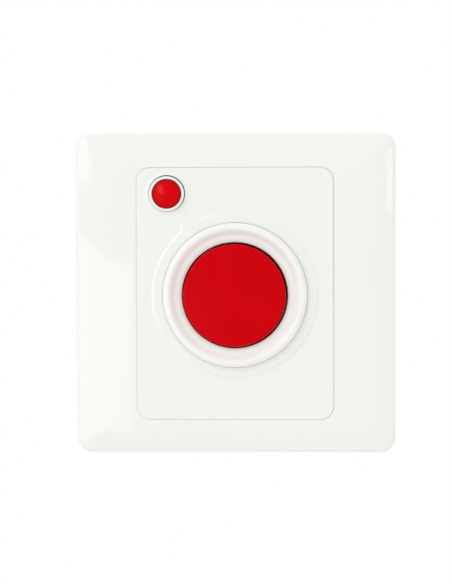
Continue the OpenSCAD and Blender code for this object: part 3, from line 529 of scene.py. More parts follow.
@dataclass(frozen=True)
class ClearMoulding(Finish):
    """Tinted clear plastic: the colour deepens inside, and the polished skin mirrors the room."""

    roughness: Pair = (0.064, 0.104)
    patch_mm: float = 3.0
    cloud_mm: float = 4.0
    ripple_mm: float = 1.6
    ripple_depth_mm: float = 0.002
    passing: float = 0.25
    ior: float = 1.49
    shine: float = 0.2
    # Colours of the painted shade and of the painted reflection, a pale patch on the lens, where they are
    # marked.
    gap_colour: str | None = None
    painted_reflection_colour: str | None = None

    def build(self) -> bpy.types.Material:
        """Makes the material.

        Returns:
            A node material on object coordinates.
        """
        coat = self.start(self.patch_mm, self.roughness, self.cloud_mm)
        pattern = {"Vector": coat.place, "Scale": 1 / (self.ripple_mm * MM), "Detail": 1.0}
        ripple = add_node(coat.tree, "ShaderNodeTexNoise", pattern)
        coat.raise_bumps(ripple.outputs["Fac"], self.ripple_depth_mm)
        coat.settle("IOR", self.ior)
        coat.settle("Specular IOR Level", self.shine)
        coat.settle("Transmission Weight", self.passing)
        # Painted shade and painted reflection are mixed over the base colour where they are marked.
        for kind, code in ((Mark.PAINTED_SHADE, self.gap_colour), (Mark.GLOW, self.painted_reflection_colour)):
            if code:
                share = add_node(coat.tree, "ShaderNodeAttribute", attribute_name=kind.value)
                coat.cover(share.outputs["Fac"], code)
        return coat.material


@dataclass(frozen=True)
class PlatedMetal(Finish):
    """Plated or bright metal: a thin even coat with faint drawing marks and a cloudy gloss."""

    roughness: float = 0.26
    # Least and most roughness, as shares of it.
    spread: Pair = (0.75, 1.35)
    patch_mm: float = 2.5
    cloud_mm: float = 1.2
    # Width of the drawing marks, and that width over their length.
    mark_mm: float = 0.35
    mark_share: float = 0.12
    mark_depth_mm: float = 0.003

    def build(self) -> bpy.types.Material:
        """Makes the material.

        Returns:
            A node material on object coordinates.
        """
        low, high = (self.roughness * share for share in self.spread)
        coat = self.start(self.patch_mm, (low, high), self.cloud_mm)
        stretch = {"Vector": coat.place, "Scale": (1.0, self.mark_share, 1.0)}
        long = add_node(coat.tree, "ShaderNodeMapping", stretch).outputs[0]
        pattern = {"Vector": long, "Scale": 1 / (self.mark_mm * MM), "Detail": 2.0}
        marks = add_node(coat.tree, "ShaderNodeTexNoise", pattern)
        coat.raise_bumps(marks.outputs["Fac"], self.mark_depth_mm)
        coat.settle("Metallic", 1.0)
        return coat.material


@dataclass(frozen=True)
class Laminate(Finish):
    """Glass-cloth board under solder resist: a green lacquer in which the weave shows as a faint grid."""

    roughness: Pair = (0.22, 0.34)
    patch_mm: float = 6.0
    cloud_mm: float = 5.0
    # The real cloth has a thread every 0.4 mm; it is drawn four times as coarse, so that it shows.
    thread_mm: float = 1.578
    waver: float = 0.6
    weave_depth_mm: float = 0.012

    def build(self) -> bpy.types.Material:
        """Makes the material: two crossed waves, whose bands lie 2 pi / 20 of their scale apart.

        Returns:
            A node material on object coordinates.
        """
        coat = self.start(self.patch_mm, self.roughness, self.cloud_mm)
        scale = 2 * math.pi / 20 / (self.thread_mm * MM)
        pattern = {"Vector": coat.place, "Scale": scale, "Distortion": self.waver}
        warp, weft = (
            add_node(
                coat.tree, "ShaderNodeTexWave", pattern, wave_type="BANDS", bands_direction=way
            ).outputs["Fac"]
            for way in ("X", "Z")
        )
        cloth = add_node(coat.tree, "ShaderNodeMath", {0: warp, 1: weft}, operation="MULTIPLY")
        coat.raise_bumps(cloth.outputs[0], self.weave_depth_mm)
        return coat.material


@dataclass(frozen=True)
class Rubber(Finish):
    """Moulded rubber: nearly black, matt, with a fine grain that scatters the light."""

    roughness: Pair = (0.62, 0.78)
    patch_mm: float = 1.5
    cloud_mm: float = 2.0
    grain_mm: float = 0.25
    grain_depth_mm: float = 0.01

    def build(self) -> bpy.types.Material:
        """Makes the material.

        Returns:
            A node material on object coordinates.
        """
        coat = self.start(self.patch_mm, self.roughness, self.cloud_mm)
        pattern = {"Vector": coat.place, "Scale": 1 / (self.grain_mm * MM), "Detail": 3.0}
        grain = add_node(coat.tree, "ShaderNodeTexNoise", pattern)
        coat.raise_bumps(grain.outputs["Fac"], self.grain_depth_mm)
        return coat.material


class Along(Enum):
    """Direction in which a band's two places are measured, by the name of its coordinate."""

    ACROSS_PLATE = "X"
    INTO_WALL = "Y"


@dataclass(frozen=True)
class Band:
    """One printed or bare band between two places, in millimetres on object coordinates."""

    low: float
    high: float
    colour: str
    along: Along = Along.ACROSS_PLATE

    def lay(self, coat: Coat, parts: bpy.types.Node) -> None:
        """Covers the colour where the coordinate lies within half the band's width of its middle.

        Args:
            coat: the material in the making.
            parts: the node that gives the coordinates one by one.
        """
        middle, half = (self.low + self.high) / 2 * MM, (self.high - self.low) / 2 * MM
        values = {0: parts.outputs[self.along.value], 1: middle, 2: half}
        within = add_node(coat.tree, "ShaderNodeMath", values, operation="COMPARE")
        coat.cover(within.outputs[0], self.colour)


@dataclass(frozen=True)
class Banded(Finish):
    """Lacquered, moulded or sleeved part with value bands, a stripe and tinned wires."""

    bands: tuple[Band, ...]
    roughness: Pair = (0.24, 0.36)
    patch_mm: float = 1.5
    cloud_mm: float = 1.5

    def build(self) -> bpy.types.Material:
        """Makes the material and lays the bands over its colour in order.

        Returns:
            A node material on object coordinates.
        """
        coat = self.start(self.patch_mm, self.roughness, self.cloud_mm)
        parts = add_node(coat.tree, "ShaderNodeSeparateXYZ", {0: coat.place})
        for band in self.bands:
            band.lay(coat, parts)
        return coat.material


@dataclass
class Finishes:
    """All finishes of the call button, made once each."""

    made: dict[str, bpy.types.Material] = field(default_factory=dict)

    def get(self, finish: Finish) -> bpy.types.Material:
        """Gives the material of a finish, and makes it the first time.

        Args:
            finish: the finish of a piece.

        Returns:
            Its material.
        """
        if finish.name not in self.made:
            self.made[finish.name] = finish.build()
        return self.made[finish.name]


# White ABS for wall plates, high gloss: a cool white that mirrors windows on its curves.
PLATE_ABS = Moulding("white_plate_abs", "#f1f3ee", "#eff1ed", Polish.MIRROR)
# The same on the panel, with brownish dust and painted shade in the joint round the lamp.
PANEL_ABS = Moulding("white_panel_abs", "#f1f3ee", "#eff1ed", Polish.MIRROR, gap_colour="#8a4030")
# The same white on the small turned parts, a little warmer, with painted shade and painted red light from the
# cap in the joints.
COLLAR_ABS = Moulding(
    "white_collar_abs", "#f4f3f0", "#f2f1ee", Polish.GLOSS, peel_mm=2.4, gap_colour="#8a1a18"
)
# Light grey-white ABS of the parts inside the wall, from a spark-eroded mould: satin.
BACK_ABS = Moulding(
    "grey_white_back_abs", "#e4e5e2", "#dddedb", Polish.SATIN, peel_mm=1.1, peel_depth_mm=0.006
)
# Signal red ABS: deep and even, with a skin that mirrors little and painted shade in its joint.
BUTTON_ABS = Moulding(
    "signal_red_abs", "#d4000b", "#c6000a", Polish.GLOSS, patch_mm=9.0, shine=0.03, gap_colour="#48080c"
)
# The same red on the switch's plunger, which has no painted shade.
PLUNGER_ABS = Moulding("red_plunger_abs", "#d4000b", "#c6000a", Polish.GLOSS, patch_mm=9.0, shine=0.03)
# Uncoloured acetal of the stem: waxy and slightly yellow.
STEM_ACETAL = Moulding("natural_acetal", "#e8e6da", "#e2e0d2", Polish.SATIN)
# Black glass-filled nylon of the switch and the spacer: a dull sheen.
SWITCH_NYLON = Moulding(
    "black_nylon", "#1a1a1b", "#222223", Polish.SATIN, peel_mm=0.7, peel_depth_mm=0.008
)
# Green nylon of the terminal block: a dull sheen over an even colour.
BLOCK_NYLON = Moulding("green_nylon", "#2f7d57", "#2a7450", Polish.SATIN, peel_mm=0.9, peel_depth_mm=0.005)
# Red moulded acrylic of the lens: deep colour with painted shade that darkens it to its edge, and a painted
# reflection as a pale patch.
LENS_ACRYLIC = ClearMoulding(
    "red_acrylic", "#e2000a", "#d40009", passing=0.04, shine=0.03, gap_colour="#8a1210", painted_reflection_colour="#dc5c52"
)
# Cast red epoxy of the light-emitting diode: clear, with a smooth bright skin.
LED_EPOXY = ClearMoulding("red_epoxy", "#d2202a", "#c01a24", passing=0.35, ior=1.53)
# Drawn spring steel: grey and bright, with marks along the wire.
SPRING_WIRE = PlatedMetal("spring_steel_wire", "#b9bbbd", "#a9abad", 0.22)
# Zinc plate on the screws: pale, slightly blue and cloudy.
ZINC_PLATE = PlatedMetal("zinc_plated_steel", "#c3c6c9", "#b3b7bb", 0.28)
# Tinned copper of the pins: a soft warm grey.
TIN_PLATE = PlatedMetal("tinned_copper", "#cfcfca", "#bdbdb8", 0.3)
# Nickelled brass of the terminal cages: yellowish and bright.
NICKEL_PLATE = PlatedMetal("nickelled_brass", "#cbc6b8", "#beb8a8", 0.25)
BOARD_LAMINATE = Laminate("green_board_laminate", "#1b5a3c", "#174f34")
SEAL_RUBBER = Rubber("black_seal_rubber", "#1c1c1c", "#242424")
TIN, BROWN, GOLD = "#c9c9c4", "#5b3418", "#b08d3c"
# Beige resistor lacquer with its value rings; the tinned wires are the bands beyond the ends.
RESISTOR_LACQUER = Banded(
    "resistor_lacquer",
    "#d9c59c",
    "#cfb98e",
    (
        Band(2.0, 5.86, TIN),
        Band(12.16, 16.0, TIN),
        Band(-15.0, -11.09, TIN),
        Band(-4.79, -1.0, TIN),
        Band(6.5, 7.0, BROWN),
        Band(8.0, 8.5, "#1a1a1a"),
        Band(9.2, 9.7, "#c8601c"),
        Band(11.0, 11.5, GOLD),
        Band(-10.4, -9.9, "#b02020"),
        Band(-8.9, -8.4, "#6a3a7c"),
        Band(-7.7, -7.2, BROWN),
        Band(-5.9, -5.4, GOLD),
    ),
)
# Black moulded diode with its pale cathode ring and tinned wires.
DIODE_CASE = Banded(
    "diode_epoxy",
    "#1b1b1d",
    "#232326",
    (Band(5.0, 9.46, TIN), Band(14.56, 19.0, TIN), Band(13.1, 13.8, "#c4c6c8")),
)
# Dark blue shrunk sleeve with a pale stripe that marks the negative side; the wires pass the board.
CAPACITOR_SLEEVE = Banded(
    "capacitor_sleeve",
    "#1c2b4a",
    "#223356",
    (Band(13.3, 14.3, "#9aa3ad"), Band(15.16, 19.0, TIN, Along.INTO_WALL)),
    (0.28, 0.42),
)


# Outlines


def rounded_loop(half_w: float, half_h: float, r: float, shares: Points, steps: int = 12) -> Points:
    """Outline of a rectangle with round corners, counter-clockwise from its lower right.

    Each side is sampled at shares of its straight half length, and each corner is an arc.

    Args:
        half_w: half its width.
        half_h: half its height.
        r: radius of the corners.
        shares: places along a side, from -1 to 1.
        steps: number of steps in a corner.

    Returns:
        An array of (x, y), always with the same number of points for the same shares.
    """
    parts = []
    for turn in range(4):
        reach, along = (half_w, half_h) if turn % 2 == 0 else (half_h, half_w)
        side = np.stack([np.full(len(shares), reach), shares * (along - r)], axis=1)
        corner = arc(reach - r, along - r, r, 0, 90, steps)[1:-1]
        both = np.concatenate([side, corner])
        c, s = (1, 0, -1, 0)[turn], (0, 1, 0, -1)[turn]
        parts.append(both @ np.array([[c, s], [-s, c]]))
    return np.concatenate(parts)


def circle_loop(x: float, y: float, r: float, steps: int) -> Points:
    """Points of a circle, at the places that Surface.revolve gives them."""
    a = np.linspace(0, 2 * math.pi, steps, endpoint=False)
    return np.stack([x + r * np.cos(a), y + r * np.sin(a)], axis=1)


def arc_between(
    centre: Points, r: float, first: Points, last: Points, steps: int, forward: bool = True
) -> Points:
    """Arc about a centre from the bearing of one point to that of another, without its last point.

    Args:
        centre: the arc's centre.
        r: its radius.
        first: point towards which it starts.
        last: point towards which it ends.
        steps: number of steps.
        forward: it runs counter-clockwise.

    Returns:
        An array of (x, y).
    """
    start, end = (math.degrees(math.atan2(p[1] - centre[1], p[0] - centre[0])) for p in (first, last))
    while forward and end < start:
        end += 360
    while not forward and end > start:
        end -= 360
    return arc(*centre, r, start, end, steps)[:-1]


@dataclass(frozen=True)
class Crown:
    """A crowned face: level inside its border, then a circle that falls to the side."""

    top: float
    border: float
    radius: float

    def height(self, inset: float | Points) -> Points:
        """Height at an inset: z = top - radius + sqrt(radius squared - (border - inset) squared)."""
        run = np.clip(self.border - inset, 0, None)
        return self.top - self.radius + np.sqrt(self.radius**2 - run**2)

    def rim(self, r: float) -> tuple[float, float, float]:
        """Finds the rim circle that touches the side and the crown from inside.

        Its centre lies radius - r from the crown's centre, and r inside the side.

        Args:
            r: radius of the rim circle.

        Returns:
            Height of its centre, the meeting angle in degrees, and the meeting point's inset.
        """
        height = self.top - self.radius + math.sqrt((self.radius - r) ** 2 - (self.border - r) ** 2)
        angle = math.degrees(math.acos((self.border - r) / (self.radius - r)))
        return height, angle, r - r * math.cos(math.radians(angle))


# Sub-assemblies


@dataclass(frozen=True)
class FrameSkin:
    """The outer or the inner skin of the frame: a square with round corners under a crown."""

    half: float
    corner_r: float
    rim_r: float
    crown: Crown


@dataclass
class FrontFrame:
    """The crowned square frame, its window with a lip, and four snap hooks. Sizes in millimetres."""

    side: float = 86.0
    corner_r: float = 4.0
    face_h: float = 8.0
    rim_r: float = 1.6
    crown_w: float = 11.5
    crown_r: float = 36.0
    wall: float = 2.0
    inner_rim_r: float = 0.6
    # The mould's mitre edges are slightly blunt, over this many of their radii on each side.
    crease_r: float = 0.8
    crease_reach: float = 1.17
    # Heights of the loops on the upright side.
    side_rows: tuple[float, ...] = (0.0, 1.2, 2.4, 3.6)
    window_w: float = 53.0
    window_h: float = 67.8
    window_r: float = 3.7
    edge_r: float = 0.22
    lip_t: float = 0.9
    lip_h: float = 1.3
    # The square loops turn into the window's outline from here: before its edge, and from the side.
    outer_blend: float = 0.15
    inner_blend: float = 5.8
    pry_half_w: float = 4.0
    pry_h: float = 1.2
    # Half the width over which each end of the pry slot rises, and how far past the wall it is cut.
    pry_ease: float = 0.1
    pry_past: float = 2.0
    hook_x: float = 38.8
    hook_y: float = 17.6
    hook_w: float = 8.0
    # Corners of a hook's section: x from hook_x, and z.
    hook: Pairs = ((-1.2, 6.0), (-1.2, 2.3), (0.0, 2.3), (0.7, 2.8), (0.7, 3.3), (0.0, 3.3), (0.0, 6.0))
    # Number of places along a side, and how far their sine runs towards its crest.
    places: int = 41
    sine_share: float = 0.93

    def shares(self) -> Points:
        """Places along a side: the sine of even steps, and both ends of the pry slot.

        Returns:
            Rising shares of the straight half length, closer together near the corners.
        """
        t = np.sin(np.linspace(-1, 1, self.places) * math.pi / 2 * self.sine_share)
        ends = np.array([self.pry_half_w - self.pry_ease, self.pry_half_w + self.pry_ease])
        slot = ends / (self.side / 2 - self.corner_r)
        return np.unique(np.concatenate([t / t[-1], slot, -slot]).round(6))

    def skins(self) -> tuple[FrameSkin, FrameSkin]:
        """Lays out both skins of the shell.

        Returns:
            The outer skin, and the inner one, which lies a wall inside it.
        """
        shifts = ((0.0, self.rim_r), (self.wall, self.inner_rim_r))
        crowns = [Crown(self.face_h - t, self.crown_w - t, self.crown_r - t) for t, _ in shifts]
        half, corner = self.side / 2, self.corner_r
        outer, inner = [FrameSkin(half - t, corner - t, r, c) for (t, r), c in zip(shifts, crowns)]
        return outer, inner

    def height(self, skin: FrameSkin, loop: Points) -> Points:
        """Height of a skin's crown over a loop, by the loop's inset from the square's side.

        The inset is half the side less a smooth maximum of |x| and |y|: where these differ by d
        less than b, (b - d) squared / 4 b is added to the larger one.

        Args:
            skin: outer or inner skin.
            loop: array of (x, y).

        Returns:
            One height a point.
        """
        a = np.abs(loop)
        blunt = self.crease_reach * self.crease_r
        far = a.max(1) + np.clip(blunt - np.abs(a[:, 0] - a[:, 1]), 0, None) ** 2 / (4 * blunt)
        return skin.crown.height(skin.half - far)

    def ring(self, skin: FrameSkin, inset: float) -> Points:
        """Loop at an inset from a skin's square."""
        r = max(skin.corner_r - inset, self.crease_r)
        return rounded_loop(skin.half - inset, skin.half - inset, r, self.shares())

    def window_loop(self, offset: float) -> Points:
        """Loop at an outward offset from the window's outline."""
        half_w, half_h = self.window_w / 2 + offset, self.window_h / 2 + offset
        return rounded_loop(half_w, half_h, self.window_r + offset, self.shares())

    def square_rows(self, skin: FrameSkin, last: float) -> list[Points]:
        """Rows up the side, over the rim and along the crown.

        The rim's point at angle a lies rim_r (1 - cos a) inside the side and rim_r sin a above
        the rim circle's centre.

        Args:
            skin: outer or inner skin.
            last: inset of the last row.

        Returns:
            One loop of (x, y, z) a row.
        """
        r = skin.rim_r
        rim_z, angle, meet = skin.crown.rim(r)
        rows = [at_height(self.ring(skin, 0), z) for z in self.side_rows]
        for a in np.radians(np.linspace(0, angle, 13)):
            rows.append(at_height(self.ring(skin, r - r * math.cos(a)), rim_z + r * math.sin(a)))
        for inset in np.linspace(meet, last, 30)[1:]:
            rows.append(at_height(self.ring(skin, inset), skin.crown.height(inset)))
        return rows

    def between(self, skin: FrameSkin, first: Points, last: Points, steps: int) -> list[Points]:
        """Rows on the crown that turn one loop into another: (1 - t) first + t last.

        Args:
            skin: outer or inner skin.
            first: loop of (x, y) before the rows.
            last: loop of (x, y) of the last row.
            steps: number of rows.

        Returns:
            One loop of (x, y, z) a row.
        """
        loops = [(1 - t) * first + t * last for t in np.linspace(0, 1, steps + 1)[1:]]
        return [at_height(loop, self.height(skin, loop)) for loop in loops]

    def rows(self) -> list[Points]:
        """Carries the section round the square: up the side, over the crown, down the window, back inside.

        Returns:
            One loop of (x, y, z) a row; the last joins the first.
        """
        outer, inner = self.skins()
        rows = self.square_rows(outer, outer.half - (self.window_h / 2 + self.edge_r) - self.outer_blend)
        edge = self.window_loop(self.edge_r)
        rows += self.between(outer, rows[-1][:, :2], edge, 10)
        edge_z = self.height(outer, edge)
        for a in np.radians(np.linspace(0, 90, 7)[1:]):
            loop = self.window_loop(self.edge_r * (1 - math.sin(a)))
            rows.append(at_height(loop, edge_z - self.edge_r * (1 - math.cos(a))))
        lip_end = inner.crown.top - self.lip_h
        lip_loop = self.window_loop(self.lip_t)
        rows += [at_height(self.window_loop(0), lip_end), at_height(lip_loop, lip_end)]
        rows.append(at_height(lip_loop, self.height(inner, lip_loop)))
        back = self.square_rows(inner, self.inner_blend)[::-1]
        return rows + self.between(inner, lip_loop, back[0][:, :2], 4)[:-1] + back

    def surface(self) -> Surface:
        """Joins the rows into a shell, lifts its foot at the pry slot, and adds the hooks.

        Returns:
            The closed shell with its hooks.
        """
        grid = np.stack(self.rows())
        slot = (grid[..., 1] < -(self.side / 2 - self.wall - self.pry_past)) & (grid[..., 2] < self.pry_h)
        low, high = self.pry_half_w - self.pry_ease, self.pry_half_w + self.pry_ease
        lift = self.pry_h * (1 - smooth_step(low, high, np.abs(grid[..., 0])))
        grid[..., 2] = np.where(slot, np.maximum(grid[..., 2], lift), grid[..., 2])
        made = Surface()
        made.grid(grid, wrap_rows=True)
        for mirrored in (False, True):
            for y in (-self.hook_y, self.hook_y):
                made.bar(np.array(self.hook) + (self.hook_x, 0), self.hook_w, y, mirrored)
        return made

    def build(self, finishes: Finishes) -> bpy.types.Object:
        """Makes the piece that stands for front_frame."""
        mesh = self.surface().mesh("frame_shell")
        return place_piece(mesh, "front_frame", finishes.get(PLATE_ABS))


@dataclass
class CentrePanel:
    """The panel with its raised figure, seats for collar and lamp, skirt and clips. Sizes in millimetres."""

    width: float = 52.6
    height: float = 67.4
    corner_r: float = 3.5
    face_h: float = 8.0
    under_z: float = 6.0
    end_z: float = 2.6
    skirt_t: float = 1.5
    # Height of a loop on the skirt, and where the panel's side steps out above it.
    side_z: float = 4.5
    ledge_z: float = 6.8
    edge_r: float = 0.22
    # The panel's edge is stepped, so the joint is a shallow groove with a pale floor.
    step_w: float = 0.17
    step_depth: float = 0.26
    # A level strip this wide beside each curved edge keeps its shading from spreading.
    strip_w: float = 0.12
    # The panel hangs a little low and left in its window.
    rest: Pair = (-0.03, -0.01)
    button: Pair = (0.0, -0.3)
    lamp: Pair = (-18.22, 26.88)
    relief_h: float = 0.34
    relief_w: float = 0.86
    relief_strip_w: float = 0.05
    big_r: float = 22.6
    small_r: float = 5.98
    neck_r: float = 2.9
    # Slope of the seats' blunt edges.
    blunt: float = 0.06
    collar_seat: Pair = (-0.02, -0.325)
    seat_r: float = 19.48
    seat_z: float = 7.0
    seal_outer_r: float = 18.6
    seal_inner_r: float = 17.25
    seal_z: float = 5.8
    tube_hole_r: float = 16.45
    collar_boss_r: float = 20.92
    collar_boss_z: float = 4.6
    # The seat is bored a little up and right of the lamp, so that side's joint is the open one.
    lamp_seat: Pair = (-18.16, 26.94)
    lamp_seat_r: float = 4.84
    lamp_seat_z: float = 7.2
    lamp_hole_r: float = 4.43
    lamp_boss_r: float = 5.2
    lamp_boss_z: float = 5.2
    # Corners of a clip's section as (x, z), its width, and its place as a share of the half height.
    clip: Pairs = ((25.3, 3.8), (24.2, 3.8), (24.2, 3.2), (24.8, 2.6), (25.3, 2.6))
    clip_w: float = 6.0
    clip_share: float = 0.7
    # The lamp's joint has dust and painted shade between two heights, on the side towards which it is
    # open. They start and are full at these cosines of the angle from that way.
    painted_shade_z: Pair = (7.1, 8.35)
    painted_shade_way: Pair = (0.42, 0.91)
    painted_shade_turn: Pair = (-0.75, 0.0)
    # A point this far past the seat's wall still counts as on it.
    slack: float = 0.02

    def outline(self, offset: float) -> Points:
        """Loop at an outward offset from the panel's outline."""
        half_w, half_h = self.width / 2 + offset, self.height / 2 + offset
        return self.rest + rounded_loop(half_w, half_h, self.corner_r + offset, np.linspace(-1, 1, 9), 14)

    def figure(self, inset: float) -> Points:
        """Outline of the raised figure at an inset: two circles joined by two hollow fillets.

        Each fillet's circle touches both circles from outside, so its centre lies at the sum of
        the radii from both, and an inset makes the circles smaller and the fillets larger.

        Args:
            inset: how far inside the figure's foot the loop runs.

        Returns:
            A counter-clockwise loop of (x, y), with the same number of points for any inset.
        """
        big, small = np.array(self.button), np.array(self.lamp)
        way = small - big
        reach = float(np.hypot(*way))
        ahead = way / reach
        beside = np.array([-ahead[1], ahead[0]])
        big_side, small_side = self.big_r + self.neck_r, self.small_r + self.neck_r
        along = (big_side**2 - small_side**2 + reach**2) / (2 * reach)
        aside = math.sqrt(big_side**2 - along**2)
        left, right = big + along * ahead + aside * beside, big + along * ahead - aside * beside
        neck = self.neck_r + inset
        return np.concatenate(
            [
                arc_between(big, self.big_r - inset, left, right, 200),
                arc_between(right, neck, big, small, 28, forward=False),
                arc_between(small, self.small_r - inset, right, left, 64),
                arc_between(left, neck, small, big, 28, forward=False),
            ]
        )

    def side_rows(self) -> list[Points]:
        """Rows from the skirt's inside round its foot, up the stepped side and over the round edge.

        Returns:
            One loop of (x, y, z) a row.
        """
        top, r, floor = self.face_h, self.edge_r, self.face_h - self.step_depth
        rows = [(-self.skirt_t, self.under_z), (-self.skirt_t, self.end_z), (0.0, self.end_z)]
        rows += [(0.0, self.side_z), (0.0, self.ledge_z), (self.step_w, self.ledge_z), (self.step_w, floor)]
        rows += [(0.0, floor), (0.0, top - r)]
        a = np.radians(np.linspace(0, 90, 7)[1:])
        rows += [(-r * (1 - math.cos(v)), top - r * (1 - math.sin(v))) for v in a]
        rows.append((-r - self.strip_w, top))
        return [at_height(self.outline(offset), z) for offset, z in rows]

    def seat_profile(self, raised: float) -> Points:
        """Section of the collar's seat: blunt edge, wall, floor with the seal's groove, hole and boss.

        Args:
            raised: height of the figure's face.

        Returns:
            An array of (radius, z).
        """
        r, blunt = self.seat_r, self.blunt
        return path(
            [(r + 2 * blunt, raised), (r + blunt, raised), (r, raised - blunt), (r, self.seat_z)],
            [(self.seal_outer_r, self.seat_z), (self.seal_outer_r, self.seal_z)],
            [(self.seal_inner_r, self.seal_z), (self.seal_inner_r, self.seat_z)],
            [(self.tube_hole_r, self.seat_z), (self.tube_hole_r, self.collar_boss_z)],
            [(self.collar_boss_r, self.collar_boss_z), (self.collar_boss_r, self.under_z)],
        )

    def lamp_profile(self, raised: float) -> Points:
        """Section of the lamp's seat: blunt edge, wall, floor, hole and boss.

        Args:
            raised: height of the figure's face.

        Returns:
            An array of (radius, z).
        """
        r, blunt = self.lamp_seat_r, self.blunt
        return path(
            [(r + 2 * blunt, raised), (r + blunt, raised), (r, raised - blunt), (r, self.lamp_seat_z)],
            [(self.lamp_hole_r, self.lamp_seat_z), (self.lamp_hole_r, self.lamp_boss_z)],
            [(self.lamp_boss_r, self.lamp_boss_z), (self.lamp_boss_r, self.under_z)],
        )

    def surface(self) -> Surface:
        """Joins flat regions, the figure's sloped edge, the two seats and the skirt.

        The figure rises over its edge by relief_h times the cubic ease.

        Returns:
            The closed shell with its clips.
        """
        made = Surface()
        top, raised, end = self.face_h, self.face_h + self.relief_h, self.relief_w + self.relief_strip_w
        made.grid(np.stack(self.side_rows()))
        slope = [(-self.strip_w, 0.0)]
        slope += [(t * self.relief_w, float(smooth_step(0, 1, t))) for t in np.linspace(0, 1, 11)]
        slope.append((end, 1.0))
        made.grid(np.stack([at_height(self.figure(i), top + self.relief_h * h) for i, h in slope]))
        made.flat([self.outline(-self.edge_r - self.strip_w), self.figure(-self.strip_w)], top)
        seat_loop = circle_loop(*self.collar_seat, self.seat_r + 2 * self.blunt, LARGE_STEPS)
        lamp_loop = circle_loop(*self.lamp_seat, self.lamp_seat_r + 2 * self.blunt, SMALL_STEPS)
        made.flat([self.figure(end), seat_loop, lamp_loop], raised)
        made.revolve(self.seat_profile(raised), self.collar_seat, LARGE_STEPS, closed=False)
        made.revolve(self.lamp_profile(raised), self.lamp_seat, SMALL_STEPS, closed=False)
        bosses = [
            circle_loop(*self.collar_seat, self.collar_boss_r, LARGE_STEPS),
            circle_loop(*self.lamp_seat, self.lamp_boss_r, SMALL_STEPS),
        ]
        made.flat([self.outline(-self.skirt_t), *bosses], self.under_z, up=False)
        for mirrored in (False, True):
            for side in (-1, 1):
                y = side * self.clip_share * self.height / 2
                made.bar(np.array(self.clip), self.clip_w, y, mirrored)
        return made

    def dust_and_painted_shade(self, x: Points, y: Points, z: Points) -> Points:
        """Dust and painted shade in the lamp's joint: 1 on its open side and eased to 0 round the other.

        Args:
            x: to the right.
            y: up the wall.
            z: out of the wall.

        Returns:
            Share of tint at each point.
        """
        across, up = x - self.lamp_seat[0], y - self.lamp_seat[1]
        far = np.hypot(across, up)
        towards = (self.painted_shade_way[0] * across + self.painted_shade_way[1] * up) / np.maximum(far, NEAR_AXIS)
        joint = (far < self.lamp_seat_r + self.slack) & (z < self.painted_shade_z[1]) & (z > self.painted_shade_z[0])
        return smooth_step(*self.painted_shade_turn, towards) * joint

    def build(self, finishes: Finishes) -> bpy.types.Object:
        """Makes the piece that stands for centre_panel, and marks the dust and painted shade of its lamp's
        joint.

        Args:
            finishes: the finishes made so far.

        Returns:
            The piece.
        """
        mesh = self.surface().mesh("panel_shell")
        mark(mesh, self.dust_and_painted_shade)
        return place_piece(mesh, "centre_panel", finishes.get(PANEL_ABS))


